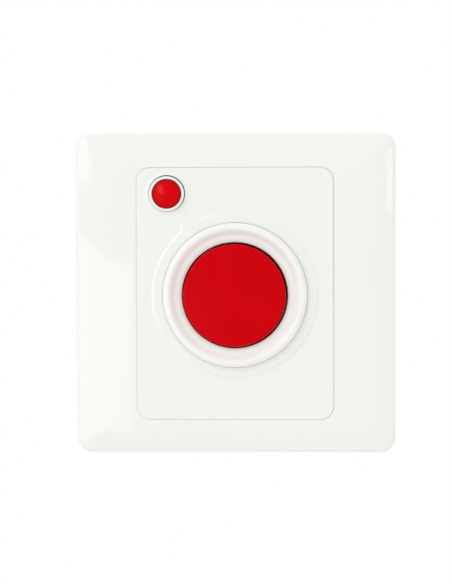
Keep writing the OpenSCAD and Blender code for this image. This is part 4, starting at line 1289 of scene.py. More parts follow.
@dataclass
class Collar:
    """The guard collar with bead, cove, ledge, bore and the guide for the stem. Sizes in millimetres."""

    centre: Pair = (0.0, -0.3)
    outer_r: float = 19.4
    flange_z: float = 8.0
    bead_r: float = 1.3
    bead_z: float = 8.9
    flank_lean: float = 55.0
    cove_r: float = 0.5
    ledge_z: float = 9.2
    # A loop on the ledge, inside the cove's end.
    ledge_r: float = 15.2
    bore_r: float = 14.15
    bore_edge_r: float = 0.3
    tube_r: float = 16.15
    foot_z: float = 7.03
    floor_z: float = 0.4
    back_z: float = -1.0
    guide_outer_r: float = 4.3
    guide_r: float = 3.05
    guide_z: Pair = (-2.4, 2.8)
    # Corners of a hook's section as (radius, z), and the angles of its ends in degrees.
    hook: Pairs = ((15.15, 2.97), (16.75, 4.17), (16.75, 4.57), (15.15, 4.57))
    hook_ends: Pair = (2.0, 26.0)
    hook_turns: tuple[float, ...] = (0.0, 120.0, 240.0)
    # Share of painted shade and painted red light on the bore's round edge, on the bead's flank, and on the
    # ledge: high and left.
    edge_tint: float = 0.12
    flank_tint: float = 0.09
    ledge_tint: Pair = (0.035, 0.05)
    # Radii between which the flank's tint rises and falls, and the ledge's falls.
    flank_rise: Pair = (15.9, 16.5)
    flank_fall: Pair = (17.2, 17.8)
    ledge_fall: Pair = (16.0, 16.4)
    # Way on which the tint is full, and the cosines between which it grows towards it.
    tint_way: Pair = (-0.6, 0.8)
    tint_turn: Pair = (-0.7, 0.9)
    left_turn: Pair = (0.2, 1.0)
    # The bore's wall is shaded from here below the ledge, and its edge out to this width.
    wall_drop: float = 0.2
    edge_w: float = 0.35
    # A point this far from the wall or the ledge still counts as on it.
    slack: float = 0.05

    def profile(self) -> Points:
        """Section from the foot of the flange over the bead, down the bore and back up the tube.

        The flank is the line that touches both the bead and the cove, flank_lean from upright.

        Returns:
            An array of (radius, z).
        """
        bead_x, lean = self.outer_r - self.bead_r, math.radians(self.flank_lean)
        cove_z = self.ledge_z + self.cove_r
        start = (bead_x - self.bead_r * math.cos(lean), self.bead_z + self.bead_r * math.sin(lean))
        drop = start[1] - (cove_z - self.cove_r * math.sin(lean))
        cove_x = start[0] - drop * math.tan(lean) - self.cove_r * math.cos(lean)
        edge, (low, high) = self.bore_edge_r, self.guide_z
        return path(
            [(self.outer_r, self.foot_z), (self.outer_r, self.flange_z)],
            arc(bead_x, self.bead_z, self.bead_r, 0, 180 - self.flank_lean, 26),
            arc(cove_x, cove_z, self.cove_r, -self.flank_lean, -90, 10),
            [(self.ledge_r, self.ledge_z)],
            arc(self.bore_r + edge, self.ledge_z - edge, edge, 90, 180, 6),
            [(self.bore_r, self.floor_z), (self.bore_r - edge, self.floor_z)],
            [(self.guide_outer_r, self.floor_z), (self.guide_outer_r, high), (self.guide_r, high)],
            [(self.guide_r, low), (self.guide_outer_r, low), (self.guide_outer_r, self.back_z)],
            [(self.tube_r, self.back_z), (self.tube_r, self.foot_z)],
        )

    def surface(self) -> Surface:
        """Revolves the section, and adds the three hooks that catch behind the panel.

        Returns:
            The closed shell with its hooks.
        """
        made = Surface()
        made.revolve(self.profile(), self.centre, LARGE_STEPS)
        r, z = np.array(self.hook).T[..., None]
        ends = np.array([[0, 1, 2, 3]])
        for turn in self.hook_turns:
            a = np.radians(np.linspace(turn + self.hook_ends[0], turn + self.hook_ends[1], 13))
            x, y = self.centre[0] + r * np.cos(a), self.centre[1] + r * np.sin(a)
            grid = np.stack([x, y, np.broadcast_to(z, x.shape)], axis=-1)
            made.grid(grid, wrap_rows=True, wrap_columns=False)
            made.put(grid[:, 0], ends)
            made.put(grid[:, -1], ends[:, ::-1])
        return made

    def shade(self, x: Points, y: Points, z: Points) -> Points:
        """Shade of the joint, and the cap's red light on edge, flank and ledge.

        It is 1 down the bore's wall, and small shares above it that grow towards the upper left.

        Args:
            x: to the right.
            y: up the wall.
            z: out of the wall.

        Returns:
            Share of tint at each point.
        """
        across, up = x - self.centre[0], y - self.centre[1]
        far = np.hypot(across, up)
        past, top = far - self.bore_r, self.ledge_z + self.slack
        wall = (np.abs(past) < self.slack) & (z < self.ledge_z - self.wall_drop)
        edge = (past < self.edge_w) & (past > -self.slack) & (z < top)
        above = z > self.ledge_z - 2 * self.slack
        flank = smooth_step(*self.flank_rise, far) * (1 - smooth_step(*self.flank_fall, far)) * above
        ledge = (1 - smooth_step(*self.ledge_fall, far)) * above
        towards = (self.tint_way[0] * across + self.tint_way[1] * up) / np.maximum(far, NEAR_AXIS)
        high = smooth_step(*self.tint_turn, towards)
        left = smooth_step(*self.left_turn, -across / np.maximum(far, NEAR_AXIS))
        on_ledge = ledge * (self.ledge_tint[0] * high + self.ledge_tint[1] * left)
        return np.where(wall, 1.0, self.edge_tint * edge + self.flank_tint * flank * high + on_ledge)

    def build(self, finishes: Finishes) -> bpy.types.Object:
        """Makes the piece that stands for button_collar, and marks its shades.

        Args:
            finishes: the finishes made so far.

        Returns:
            The piece.
        """
        mesh = self.surface().mesh("guard_collar")
        mark(mesh, self.shade)
        return place_piece(mesh, "button_collar", finishes.get(COLLAR_ABS))


@dataclass
class PushButton:
    """The red cap, its stem, and the return spring that is squeezed under it. Sizes in millimetres."""

    centre: Pair = (0.0, -0.3)
    # The cap's play in the collar lets it rest a little low and left.
    cap_centre: Pair = (-0.08, -0.36)
    r: float = 13.74
    top_z: float = 11.2
    crown: float = 0.45
    edge_r: float = 0.8
    end_z: float = 3.0
    # The skirt's foot is broken by this, and a loop lies on its side.
    foot_edge: float = 0.15
    side_z: float = 6.5
    under_z: float = 9.15
    skirt_inner_r: float = 12.1
    socket_r: float = 2.16
    socket_z: float = 8.9
    boss_r: float = 4.3
    boss_z: float = 6.55
    travel: float = 2.5
    stem_r: float = 3.0
    stem_end_z: float = -4.73
    nose_r: float = 4.5
    groove_r: float = 2.3
    groove_z: Pair = (-2.96, -2.4)
    # The stem's shoulder: start and end of its broken edge, and its width.
    shoulder_z: Pair = (6.42, 6.52)
    shoulder_edge: float = 0.1
    spigot_r: float = 2.0
    # The same of the spigot's tip.
    spigot_z: Pair = (8.6, 8.75)
    spigot_edge: float = 0.15
    coil_r: float = 5.3
    wire_r: float = 0.4
    coil_low: float = 0.83
    coil_high: float = 8.72
    turns: float = 5.0
    end_turns: float = 0.8
    end_pitch: float = 1.25
    # Play between the collar's floor and the lowest wire.
    coil_play: float = 0.03
    coil_steps: int = 320
    wire_steps: int = 16
    # The cap is shaded in its joint over this width, and the shade ends between these heights.
    shade_w: float = 0.5
    shade_z: Pair = (9.2, 9.9)

    @property
    def floor_z(self) -> float:
        """Height of the collar's floor, on which the spring stands."""
        return self.coil_low - self.wire_r - self.coil_play

    def cap_profile(self) -> Points:
        """Section of the cap from the spigot's socket round the skirt to the crown's middle.

        The crown is a circle's arc that rises by crown over the radius r.

        Returns:
            An array of (radius, z).
        """
        radius = (self.r**2 + self.crown**2) / (2 * self.crown)
        rim_z, angle, _ = Crown(self.top_z, self.r, radius).rim(self.edge_r)
        meet = self.r - self.edge_r + self.edge_r * math.cos(math.radians(angle))
        out = np.linspace(meet, 0, 26)[1:]
        crown = np.stack([out, self.top_z - radius + np.sqrt(radius**2 - out**2)], axis=1)
        edge = self.foot_edge
        return path(
            [(0.0, self.socket_z), (self.socket_r, self.socket_z), (self.socket_r, self.boss_z)],
            [(self.boss_r, self.boss_z), (self.boss_r, self.under_z)],
            [(self.skirt_inner_r, self.under_z), (self.skirt_inner_r, self.end_z)],
            [(self.r - edge, self.end_z), (self.r, self.end_z + edge), (self.r, self.side_z)],
            arc(self.r - self.edge_r, rim_z, self.edge_r, 0, angle, 14),
            crown,
        )

    def stem_profile(self) -> Points:
        """Section of the stem from its round nose, past the clip's groove, to its spigot.

        Returns:
            An array of (radius, z).
        """
        nose = np.degrees(math.asin(self.stem_r / self.nose_r))
        r, spigot, (low, high) = self.stem_r, self.spigot_r, self.groove_z
        return path(
            arc(0, self.stem_end_z + self.nose_r, self.nose_r, -90, -90 + nose, 12),
            [(r, low), (self.groove_r, low), (self.groove_r, high), (r, high), (r, self.shoulder_z[0])],
            [(r - self.shoulder_edge, self.shoulder_z[1]), (spigot, self.shoulder_z[1])],
            [(spigot, self.spigot_z[0]), (spigot - self.spigot_edge, self.spigot_z[1])],
            [(0.0, self.spigot_z[1])],
        )

    def coil_line(self) -> Points:
        """Centre line of the spring: a helix whose end turns rise more slowly than the others.

        Returns:
            An array of (x, y, z) about the spring's axis.
        """
        t = np.linspace(0, self.turns, self.coil_steps)
        ends = np.minimum(t, self.end_turns) + np.maximum(t - self.turns + self.end_turns, 0)
        middle = np.maximum(np.minimum(t, self.turns - self.end_turns) - self.end_turns, 0)
        rise = self.coil_high - self.coil_low - 2 * self.end_turns * self.end_pitch
        pitch = rise / (self.turns - 2 * self.end_turns)
        a = 2 * math.pi * t
        z = self.coil_low + self.end_pitch * ends + pitch * middle
        return np.stack([self.coil_r * np.cos(a), self.coil_r * np.sin(a), z], axis=1)

    def spring_surface(self) -> Surface:
        """Carries a circle along the helix, in the plane across its tangent.

        Returns:
            The closed tube.
        """
        line, count = self.coil_line(), self.wire_steps
        # Each end runs straight on for a wire's width.
        past = np.array([0, 2 * self.wire_r, 0])
        line = np.concatenate([[line[0] - past], line, [line[-1] + past]])
        ahead = np.gradient(line, axis=0)
        ahead /= np.linalg.norm(ahead, axis=1)[:, None]
        aside = np.cross(ahead, [0, 0, 1])
        aside /= np.linalg.norm(aside, axis=1)[:, None]
        above = np.cross(aside, ahead)
        a = np.linspace(0, 2 * math.pi, count, endpoint=False)[None, :, None]
        tube = line[:, None] + self.wire_r * (np.cos(a) * aside[:, None] + np.sin(a) * above[:, None])
        tube[..., :2] += self.centre
        made = Surface()
        made.grid(tube, flip=True)
        first, second, third = np.zeros(count - 2, int), np.arange(1, count - 1), np.arange(2, count)
        fan = np.stack([first, second, third, third], axis=-1)
        made.put(tube[0], fan)
        made.put(tube[-1], fan[:, [2, 1, 0, 0]])
        return made

    def shade(self, x: Points, y: Points, z: Points) -> Points:
        """Shade on the cap's outer side, from 1 in the joint to 0 at the crown and on hidden faces."""
        far = np.hypot(x - self.cap_centre[0], y - self.cap_centre[1])
        return (far > self.r - self.shade_w) * (1 - smooth_step(*self.shade_z, z))

    def build(self, finishes: Finishes) -> list[bpy.types.Object]:
        """Makes cap, stem and spring.

        Args:
            finishes: the finishes made so far.

        Returns:
            The pieces that stand for button_cap, button_stem and return_spring.
        """
        cap, stem = Surface(), Surface()
        cap.revolve(self.cap_profile(), self.cap_centre, LARGE_STEPS, closed=False)
        stem.revolve(self.stem_profile(), self.centre, SMALL_STEPS, closed=False)
        red, pale, coil = cap.mesh("red_cap"), stem.mesh("stem"), self.spring_surface().mesh("spring")
        mark(red, self.shade)
        made = [
            place_piece(red, "button_cap", finishes.get(BUTTON_ABS), "button"),
            place_piece(pale, "button_stem", finishes.get(STEM_ACETAL), "button"),
            place_piece(coil, "return_spring", finishes.get(SPRING_WIRE)),
        ]
        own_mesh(made[2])
        return made


@dataclass
class Lamp:
    """The domed red lens in its white bezel. Sizes in millimetres."""

    # Bezel and lens rest a little low and left in their play.
    bezel_centre: Pair = (-18.21, 26.855)
    lens_centre: Pair = (-18.19, 26.835)
    lens_r: float = 3.96
    lens_edge_z: float = 8.85
    dome_z: float = 9.8
    flange_z: float = 7.45
    foot_r: float = 3.15
    foot_z: float = 5.6
    hollow_r: float = 2.6
    # Depth of the hollow at its wall and in its middle.
    hollow_z: Pair = (8.3, 8.6)
    bezel_r: float = 4.71
    bezel_z: float = 9.1
    edge_r: float = 0.35
    opening_r: float = 4.0
    opening_edge: float = 0.1
    lens_seat_z: float = 7.4
    sleeve_r: float = 4.3
    sleeve_z: float = 3.7
    bore_r: float = 3.2
    seat_z: float = 7.23
    # The painted reflection, a pale oval on the lens: its place from the lens's centre, half sizes,
    # lean, share of tint, and the part of the half sizes over which it fades.
    painted_reflection_place: Pair = (-1.6, 1.15)
    painted_reflection_half: Pair = (1.75, 0.95)
    painted_reflection_lean: float = 22.0
    painted_reflection_share: float = 0.24
    painted_reflection_fade: Pair = (0.45, 1.0)
    # Painted shade darkens the lens by this share from this radius to its edge.
    shade_r: float = 2.8
    shade_share: float = 0.8
    # The bezel's side has dust and painted shade outside this radius, which end between these heights.
    painted_shade_r: float = 4.5
    painted_shade_z: Pair = (8.6, 8.9)

    def lens_profile(self) -> Points:
        """Section of the lens: a hollow foot, a straight edge and a dome.

        The dome is a circle's arc that rises from lens_edge_z to dome_z.

        Returns:
            An array of (radius, z).
        """
        rise = self.dome_z - self.lens_edge_z
        radius = (self.lens_r**2 + rise**2) / (2 * rise)
        out = np.linspace(self.lens_r, 0, 18)
        dome = np.stack([out, self.dome_z - radius + np.sqrt(radius**2 - out**2)], axis=1)
        return path(
            [(0.0, self.hollow_z[1]), (self.hollow_r, self.hollow_z[0]), (self.hollow_r, self.foot_z)],
            [(self.foot_r, self.foot_z), (self.foot_r, self.flange_z), (self.lens_r, self.flange_z)],
            dome,
        )

    def bezel_profile(self) -> Points:
        """Section of the bezel: the sleeve, the flange with a round edge, and the lens's seat.

        Returns:
            An array of (radius, z).
        """
        opening, edge = self.opening_r, self.opening_edge
        return path(
            [(self.bore_r, self.sleeve_z), (self.sleeve_r, self.sleeve_z), (self.sleeve_r, self.seat_z)],
            [(self.bezel_r, self.seat_z)],
            arc(self.bezel_r - self.edge_r, self.bezel_z - self.edge_r, self.edge_r, 0, 90, 8),
            [(opening + edge, self.bezel_z), (opening, self.bezel_z - edge)],
            [(opening, self.lens_seat_z), (self.bore_r, self.lens_seat_z)],
        )

    def painted_reflection(self, x: Points, y: Points, z: Points) -> Points:
        """Amount of the painted reflection, a soft pale oval on the lens's front: 1 - s(d), d the distance in
        half sizes.

        Args:
            x: to the right.
            y: up the wall.
            z: out of the wall.

        Returns:
            Share of tint at each point.
        """
        across = x - self.lens_centre[0] - self.painted_reflection_place[0]
        up = y - self.lens_centre[1] - self.painted_reflection_place[1]
        c, s = math.cos(math.radians(self.painted_reflection_lean)), math.sin(math.radians(self.painted_reflection_lean))
        along, aside = up * c - across * s, across * c + up * s
        far = np.hypot(along / self.painted_reflection_half[0], aside / self.painted_reflection_half[1])
        return self.painted_reflection_share * (1 - smooth_step(*self.painted_reflection_fade, far)) * (z > self.lens_edge_z)

    def shade(self, x: Points, y: Points, z: Points) -> Points:
        """Shade of the lens, which grows towards its edge."""
        far = np.hypot(x - self.lens_centre[0], y - self.lens_centre[1])
        return self.shade_share * smooth_step(self.shade_r, self.lens_r, far)

    def dust_and_painted_shade(self, x: Points, y: Points, z: Points) -> Points:
        """Dust and painted shade on the bezel's outer side, from 1 in the joint to 0 above it."""
        far = np.hypot(x - self.bezel_centre[0], y - self.bezel_centre[1])
        return (far > self.painted_shade_r) * (1 - smooth_step(*self.painted_shade_z, z))

    def build(self, finishes: Finishes) -> list[bpy.types.Object]:
        """Makes lens and bezel, and marks their painted shades and the lens's painted reflection.

        Args:
            finishes: the finishes made so far.

        Returns:
            The pieces that stand for lamp_lens and lamp_bezel.
        """
        lens, bezel = Surface(), Surface()
        lens.revolve(self.lens_profile(), self.lens_centre, SMALL_STEPS, closed=False)
        bezel.revolve(self.bezel_profile(), self.bezel_centre, 128)
        dome, ring = lens.mesh("lens"), bezel.mesh("bezel")
        # Painted shade on the lens's edge, a painted reflection on its front, and dust and painted shade in
        # the bezel's joint.
        mark(dome, self.shade)
        mark(dome, self.painted_reflection, Mark.GLOW)
        mark(ring, self.dust_and_painted_shade)
        return [
            place_piece(dome, "lamp_lens", finishes.get(LENS_ACRYLIC)),
            place_piece(ring, "lamp_bezel", finishes.get(COLLAR_ABS)),
        ]


@dataclass
class SealRing:
    """The rubber ring squeezed between the collar and the panel. Sizes in millimetres."""

    centre: Pair = (0.0, -0.3)
    ring_r: float = 17.92
    section_r: float = 0.57
    z: float = 6.4
    # The ring is flattened a little across the groove.
    squeeze: float = 0.97

    def build(self, finishes: Finishes) -> bpy.types.Object:
        """Revolves an ellipse: (ring_r + section_r cos a, z + squeeze section_r sin a).

        Args:
            finishes: the finishes made so far.

        Returns:
            The piece that stands for collar_seal.
        """
        circle = arc(0, 0, self.section_r, 0, 360, 20)[:-1]
        made = Surface()
        made.revolve(circle * (1, self.squeeze) + (self.ring_r, self.z), self.centre, 160)
        return place_piece(made.mesh("seal_ring"), "collar_seal", finishes.get(SEAL_RUBBER))


class ScrewHead(Enum):
    """Form of a screw head, as the share of its height at which the dome starts."""

    PAN = 0.45
    CHEESE = 0.82


@dataclass(frozen=True)
class Screw:
    """A set of like screws along z with cross recesses and rolled threads. Sizes in millimetres."""

    name: str
    node: str
    places: Pairs
    seat_z: float
    # 1 where the head looks along +z, and -1 where it looks to the wall.
    side: int
    head_r: float
    head_h: float
    thread_r: float
    length: float
    pitch: float
    head: ScrewHead = ScrewHead.PAN
    neck_r: float = 0.0
    neck_l: float = 0.0
    # Depth of the thread in pitches, and steepness and blunting of its tooth.
    thread_depth: float = 0.58
    tooth_slope: float = 2.3
    tooth_cut: float = 0.4
    # The tip narrows to this share of the radius, over this many pitches.
    tip_share: float = 0.72
    tip_pitches: float = 0.5
    head_edge: float = 0.12
    # Half width, half slope of the wall and length of a recess's arm, as shares of the head's radius.
    arm_width: float = 0.12
    arm_slope: float = 0.04
    arm_reach: float = 0.6
    # Share of the arm's length at which its end starts, and of its depth that is lost on the way.
    arm_end: float = 0.8
    arm_rise: float = 0.4
    # Depth of the recess, and what it leaves of the head, as shares of the head's height.
    recess_depth: float = 0.52
    recess_floor: float = 0.3
    # Powers that round the dome.
    dome_powers: Pair = (2.6, 0.55)
    # Turn of the first recess and from one screw to the next, in degrees.
    first_turn: float = 8.0
    next_turn: float = 23.0
    columns: int = 96
    rows_per_pitch: int = 8

    def shank(self, a: Points) -> tuple[Points, Points]:
        """Radius and height of the shank: a ridge where the height over the pitch meets the turn.

        The tooth is a flat-topped wave of (side h / pitch - a / 2 pi), faded out at both ends.

        Args:
            a: angles of the columns in radians.

        Returns:
            Radius and height above the seat, as rows by columns.
        """
        low, root, pitch = -self.length, self.thread_r - self.thread_depth * self.pitch, self.pitch
        h = np.linspace(low, -self.neck_l, round((self.length - self.neck_l) / pitch * self.rows_per_pitch))
        h = h[:, None]
        turn = (self.side * h / pitch - a[None] / (2 * math.pi)) % 1
        tooth = np.clip(self.tooth_slope * (1 - np.abs(2 * turn - 1)) - self.tooth_cut, 0, 1)
        fade = smooth_step(low, low + pitch, h) * (1 - smooth_step(-self.neck_l - pitch, -self.neck_l, h))
        r = root + (self.thread_r - root) * tooth * fade
        tip = np.clip((h - low) / (self.tip_pitches * pitch), 0, 1)
        r = r * (self.tip_share + (1 - self.tip_share) * tip)
        neck = max(self.neck_r, root)
        ends = [(0.0, low), (neck, -self.neck_l), (neck, 0.0)]
        first, *last = [np.broadcast_to(np.array(e)[:, None, None], (2, 1, len(a))) for e in ends]
        body = np.stack([r, np.broadcast_to(h, r.shape)])
        both = np.concatenate([first, body, *last], axis=1)
        return both[0], both[1]

    def recess(self, along: Points, across: Points) -> Points:
        """Depth of one arm of the recess, which grows shallow towards its ends.

        Args:
            along: distance from the axis along the arm.
            across: distance from the arm's middle line.

        Returns:
            Share of the recess's depth, from 0 to 1.
        """
        width, slope = self.arm_width * self.head_r, self.arm_slope * self.head_r
        reach = self.arm_reach * self.head_r
        wall = 1 - smooth_step(width - slope, width + slope, across)
        end = 1 - smooth_step(self.arm_end * reach, reach, along)
        return wall * end * (1 - self.arm_rise * along / reach)

    def top(self, a: Points) -> tuple[Points, Points]:
        """Radius and height of the head: a round-edged dome, less the two arms of the recess.

        The dome rises over its edge by (1 - s to the first power) to the second, s the share of
        the radius.

        Args:
            a: angles of the columns in radians.

        Returns:
            Radius and height above the seat, as rows by columns.
        """
        start = self.head.value * self.head_h
        share = np.linspace(1, 0, 40)
        inner, outer = self.dome_powers
        dome = start + (self.head_h - start) * (1 - share**inner) ** outer
        foot = [(self.head_r - self.head_edge, 0.0), (self.head_r, self.head_edge)]
        profile = path(foot, np.stack([self.head_r * share, dome], axis=1))
        r, h = np.broadcast_to(profile[:, :1], (len(profile), len(a))), profile[:, 1:]
        x, y = np.abs(r * np.cos(a)), np.abs(r * np.sin(a))
        cut = self.recess_depth * self.head_h * np.maximum(self.recess(x, y), self.recess(y, x))
        return r, np.maximum(h - cut, np.minimum(h, self.recess_floor * self.head_h))

    def build(self, finishes: Finishes) -> bpy.types.Object:
        """Makes one piece of all the screws; each is turned differently.

        Args:
            finishes: the finishes made so far.

        Returns:
            The piece that stands for the set's node.
        """
        a = np.linspace(0, 2 * math.pi, self.columns, endpoint=False)
        made = Surface()
        for i, (x, y) in enumerate(self.places):
            r, h = (np.concatenate(both) for both in zip(self.shank(a), self.top(a)))
            turned = a[None] + math.radians(self.next_turn * i + self.first_turn)
            points = [x + r * np.cos(turned), y + r * np.sin(turned), self.seat_z + self.side * h]
            made.grid(np.stack(points, axis=-1), flip=self.side < 0)
        return place_piece(made.mesh(self.name), self.node, finishes.get(ZINC_PLATE), angle=40)


SCREWS = (
    Screw(
        "plate_screws",
        "wall_screws",
        ((-30.15, 0.0), (30.15, 0.0)),
        seat_z=2.03,
        side=1,
        head_r=3.4,
        head_h=2.2,
        thread_r=2.0,
        length=25.0,
        pitch=0.7,
        neck_r=1.76,
        neck_l=2.05,
    ),
    Screw(
        "lid_screws",
        "cover_screws",
        ((-19.25, -18.83), (-19.25, 18.83), (19.25, -18.83), (19.25, 18.83)),
        seat_z=-20.11,
        side=-1,
        head_r=2.1,
        head_h=1.4,
        thread_r=0.95,
        length=7.0,
        pitch=0.64,
    ),
    Screw(
        "board_fixings",
        "board_screws",
        ((-8.66, 27.7), (19.25, 27.7), (-19.25, -27.7), (19.25, -27.7)),
        seat_z=-16.78,
        side=-1,
        head_r=2.1,
        head_h=1.4,
        thread_r=0.95,
        length=7.0,
        pitch=0.64,
    ),
    Screw(
        "wire_screws",
        "terminal_screws",
        ((-7.5, -15.15), (-2.5, -15.15), (2.5, -15.15), (7.5, -15.15)),
        seat_z=-24.55,
        side=-1,
        head_r=1.8,
        head_h=1.4,
        thread_r=1.2,
        length=3.4,
        pitch=0.5,
        head=ScrewHead.CHEESE,
    ),
)


@dataclass(frozen=True)
class MouldedSkin:
    """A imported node's own shape with its edges rounded as a mould leaves them."""

    name: str
    node: str
    slot: str
    finish: Finish
    edge_mm: float
    segments: int = 3
    # Edges that turn more than this, in degrees, are rounded.
    sharp: float = 50.0
    # Corners closer than this are one, in metres, and edges that turn less than this are flat.
    weld: float = 1e-7
    level: float = 1.0

    def build(self, nodes: dict[str, bpy.types.Object], finishes: Finishes) -> bpy.types.Object:
        """Merges a copy of the node's loose triangles into flat faces and bevels its sharp edges.

        Args:
            nodes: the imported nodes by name.
            finishes: the finishes made so far.

        Returns:
            The piece that stands for the node.
        """
        mesh = nodes[self.node].data.copy()
        mesh.name = self.name
        mesh.materials.clear()
        work = bmesh.new()
        work.from_mesh(mesh)
        bmesh.ops.remove_doubles(work, verts=work.verts, dist=self.weld)
        limit = math.radians(self.level)
        bmesh.ops.dissolve_limit(work, angle_limit=limit, verts=work.verts, edges=work.edges)
        work.to_mesh(mesh)
        work.free()
        piece = place_piece(mesh, self.node, finishes.get(self.finish))
        bevel = piece.modifiers.new("mould_edge", "BEVEL")
        bevel.width = self.edge_mm * MM
        bevel.segments = self.segments
        bevel.limit_method = "ANGLE"
        bevel.angle_limit = math.radians(self.sharp)
        bevel.use_clamp_overlap = False
        bevel.miter_outer = "MITER_ARC"
        return piece


SKINS = (
    MouldedSkin("back_shell", "chassis", "chassis_moulding", BACK_ABS, 0.25),
    MouldedSkin("back_lid", "rear_cover", "chassis_moulding", BACK_ABS, 0.25),
    MouldedSkin("wire_block", "terminal_block", "green_moulding", BLOCK_NYLON, 0.2),
    MouldedSkin("switch_case", "switch_body", "black_moulding", SWITCH_NYLON, 0.15),
)


@dataclass
class PackedParts:
    """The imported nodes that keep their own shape, each with the finish of its real part."""

    table: dict[str, Finish]

    def dress(self, nodes: dict[str, bpy.types.Object], finishes: Finishes) -> None:
        """Gives each node of the table its finish.

        Args:
            nodes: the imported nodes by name.
            finishes: the finishes made so far.
        """
        for name, finish in self.table.items():
            mesh = nodes[name].data
            mesh.materials.clear()
            mesh.materials.append(finishes.get(finish))
            LOG.info("%s keeps its packed shape in %s", name, finish.name)


NODE_FINISHES = {
    "stem_clip": SPRING_WIRE,
    "lamp_ring": SPRING_WIRE,
    "lamp_led": LED_EPOXY,
    "led_leads": TIN_PLATE,
    "led_spacer": SWITCH_NYLON,
    "circuit_board": BOARD_LAMINATE,
    "switch_plunger": PLUNGER_ABS,
    "switch_lever": SPRING_WIRE,
    "switch_pins": TIN_PLATE,
    "terminal_cages": NICKEL_PLATE,
    "terminal_pins": TIN_PLATE,
    "resistors": RESISTOR_LACQUER,
    "diode": DIODE_CASE,
    "capacitor": CAPACITOR_SLEEVE,
}


# The room


def seen_rays(tree: bpy.types.NodeTree) -> bpy.types.NodeSocket:
    """Gives 1 for the rays that show the background: to the eye, in mirrors and through glass.

    Args:
        tree: a material's or the world's node tree.

    Returns:
        The output socket that carries the number.
    """
    light = add_node(tree, "ShaderNodeLightPath")
    seen = light.outputs["Is Camera Ray"]
    for ray in ("Is Glossy Ray", "Is Transmission Ray"):
        either = {0: seen, 1: light.outputs[ray]}
        seen = add_node(tree, "ShaderNodeMath", either, operation="MAXIMUM").outputs[0]
    return seen


@dataclass(frozen=True)
class Card:
    """A lit upright card in front of the wall, seen only in the gloss. Lengths in metres."""

    name: str
    # Its corner nearest the plate (x, z), and how far it reaches from there to the right and up;
    # less than 0 is left and down.
    corner: Pair
    size: Pair
    radiance: float
    # How far its left end is raised about the corner, in degrees.
    lean: float = 0.0
    distance: float = 1.0

    def build(self) -> None:
        """Adds the card; the lamp's power is pi times the radiance times its area."""
        data = bpy.data.lights.new(self.name, "AREA")
        data.shape = "RECTANGLE"
        data.size, data.size_y = abs(self.size[0]), abs(self.size[1])
        data.energy = math.pi * self.radiance * data.size * data.size_y
        made = bpy.data.objects.new(self.name, data)
        c, s = math.cos(math.radians(self.lean)), math.sin(math.radians(self.lean))
        x, z = self.size[0] / 2, self.size[1] / 2
        made.location = (self.corner[0] + x * c + z * s, -self.distance, self.corner[1] - x * s + z * c)
        made.rotation_euler = (math.pi / 2, math.radians(self.lean), 0)
        made.visible_diffuse = False
        bpy.context.scene.collection.objects.link(made)


CARDS = (
    Card("low_left", (-0.12, -0.034), (-2.6, -0.7), 1.05, 1.2),
    Card("high_left", (-0.56, 0.026), (-1.6, 0.7), 1.1),
    Card("right_strip", (0.64, 0.0), (2.4, 0.065), 1.2),
)


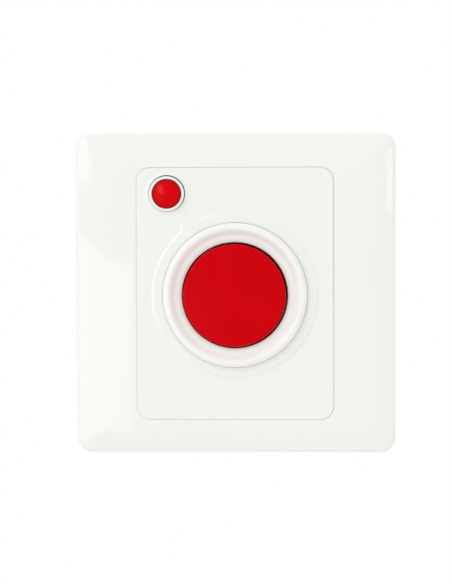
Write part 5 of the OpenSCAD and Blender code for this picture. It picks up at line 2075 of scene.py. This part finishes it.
@dataclass
class Studio:
    """Camera, floor, world and lamps. Lengths in metres, angles in degrees."""

    distance: float = 0.55
    azimuth: float = 2.5
    elevation: float = 3.3
    roll: float = 0.22
    aim: tuple[float, float, float] = (0.0, -0.008, 0.0)
    lens_mm: float = 126.55
    sensor_mm: float = 36.0
    shift: Pair = (-0.01554, 0.00327)
    white: float = 1.0
    front_light: float = 0.915
    back_light: float = 0.94
    # The world's light changes where the y of its direction goes from the first to the second.
    turn_light: Pair = (-0.2, 0.3)
    key_power: float = 22.0
    key_size: float = 2.4
    key_place: tuple[float, float, float] = (-2.0, -2.2, 2.1)
    floor_z: float = -0.5
    floor_reach: float = 1.8
    floor_colour: str = "#f6f6f4"
    # The rest is the floor's own shaded colour, which keeps the object's shadow.
    floor_white: float = 0.8

    def camera(self) -> None:
        """Places the camera on a sphere round the plate's middle, aimed at it."""
        data = bpy.data.cameras.new("camera")
        data.lens, data.sensor_width = self.lens_mm, self.sensor_mm
        data.shift_x, data.shift_y = self.shift
        a, e = math.radians(self.azimuth), math.radians(self.elevation)
        away = Vector((math.sin(a) * math.cos(e), -math.cos(a) * math.cos(e), math.sin(e)))
        made = bpy.data.objects.new("camera", data)
        made.location = Vector(self.aim) + away * self.distance
        turned = (-away).to_track_quat("-Z", "Y") @ Quaternion((0, 0, 1), math.radians(-self.roll))
        made.rotation_euler = turned.to_euler()
        bpy.context.scene.collection.objects.link(made)
        bpy.context.scene.camera = made

    def world(self) -> None:
        """A pale world, a little brighter behind the wall, and pure white to the eye and in mirrors."""
        world = bpy.data.worlds.new("studio")
        world.use_nodes = True
        tree = world.node_tree
        tree.nodes.clear()
        way = add_node(tree, "ShaderNodeTexCoord").outputs["Generated"]
        depth = add_node(tree, "ShaderNodeSeparateXYZ", {0: way}).outputs["Y"]
        front, back = self.turn_light
        span = {"Value": depth, "From Min": front, "From Max": back}
        span |= {"To Min": self.front_light, "To Max": self.back_light}
        level = add_node(tree, "ShaderNodeMapRange", span).outputs[0]
        soft, white = (
            add_node(tree, "ShaderNodeBackground", {"Color": (1, 1, 1, 1), "Strength": strength}).outputs[0]
            for strength in (level, self.white)
        )
        mix = add_node(tree, "ShaderNodeMixShader", {0: seen_rays(tree), 1: soft, 2: white})
        add_node(tree, "ShaderNodeOutputWorld", {"Surface": mix.outputs[0]})
        bpy.context.scene.world = world

    def key(self) -> None:
        """Adds the broad soft lamp above and to the left."""
        data = bpy.data.lights.new("key", "AREA")
        data.size, data.energy = self.key_size, self.key_power
        made = bpy.data.objects.new("key", data)
        made.location = self.key_place
        made.rotation_euler = (-made.location).to_track_quat("-Z", "Y").to_euler()
        bpy.context.scene.collection.objects.link(made)

    def floor(self) -> None:
        """Adds a pale floor below the plate: white to the eye, with a little of the shadows kept."""
        reach, height = self.floor_reach, self.floor_z
        mesh = bpy.data.meshes.new("floor")
        corners = [(reach * x, reach * y, height) for x, y in ((-1, -1), (1, -1), (1, 1), (-1, 1))]
        mesh.from_pydata(corners, [], [(0, 1, 2, 3)])
        material = bpy.data.materials.new("pale_floor")
        material.use_nodes = True
        tree = material.node_tree
        tree.nodes.clear()
        matt = add_node(tree, "ShaderNodeBsdfDiffuse", {"Color": hex_colour(self.floor_colour)}).outputs[0]
        lit = add_node(tree, "ShaderNodeEmission", {"Color": (1, 1, 1, 1), "Strength": self.white}).outputs[0]
        share = add_node(
            tree, "ShaderNodeMath", {0: seen_rays(tree), 1: self.floor_white}, operation="MULTIPLY"
        )
        mix = add_node(tree, "ShaderNodeMixShader", {0: share.outputs[0], 1: matt, 2: lit})
        add_node(tree, "ShaderNodeOutputMaterial", {"Surface": mix.outputs[0]})
        mesh.materials.append(material)
        made = bpy.data.objects.new("floor", mesh)
        bpy.context.scene.collection.objects.link(made)

    def build(self, cards: Sequence[Card]) -> None:
        """Makes the whole room.

        Args:
            cards: the cards that the gloss mirrors.
        """
        self.camera()
        self.world()
        self.floor()
        self.key()
        for card in cards:
            card.build()


def main() -> None:
    """Builds the call button piece by piece, then its room."""
    logging.basicConfig(level=logging.INFO, format="%(name)s: %(message)s")
    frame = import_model()
    finishes = Finishes()
    for part in (FrontFrame(), CentrePanel(), Collar(), PushButton(), Lamp(), SealRing(), *SCREWS):
        part.build(finishes)
    for skin in SKINS:
        skin.build(frame["nodes"], finishes)
    PackedParts(NODE_FINISHES).dress(frame["nodes"], finishes)
    bpy.context.scene.view_settings.view_transform = "Standard"
    Studio().build(CARDS)


if __name__ == "__main__":
    main()
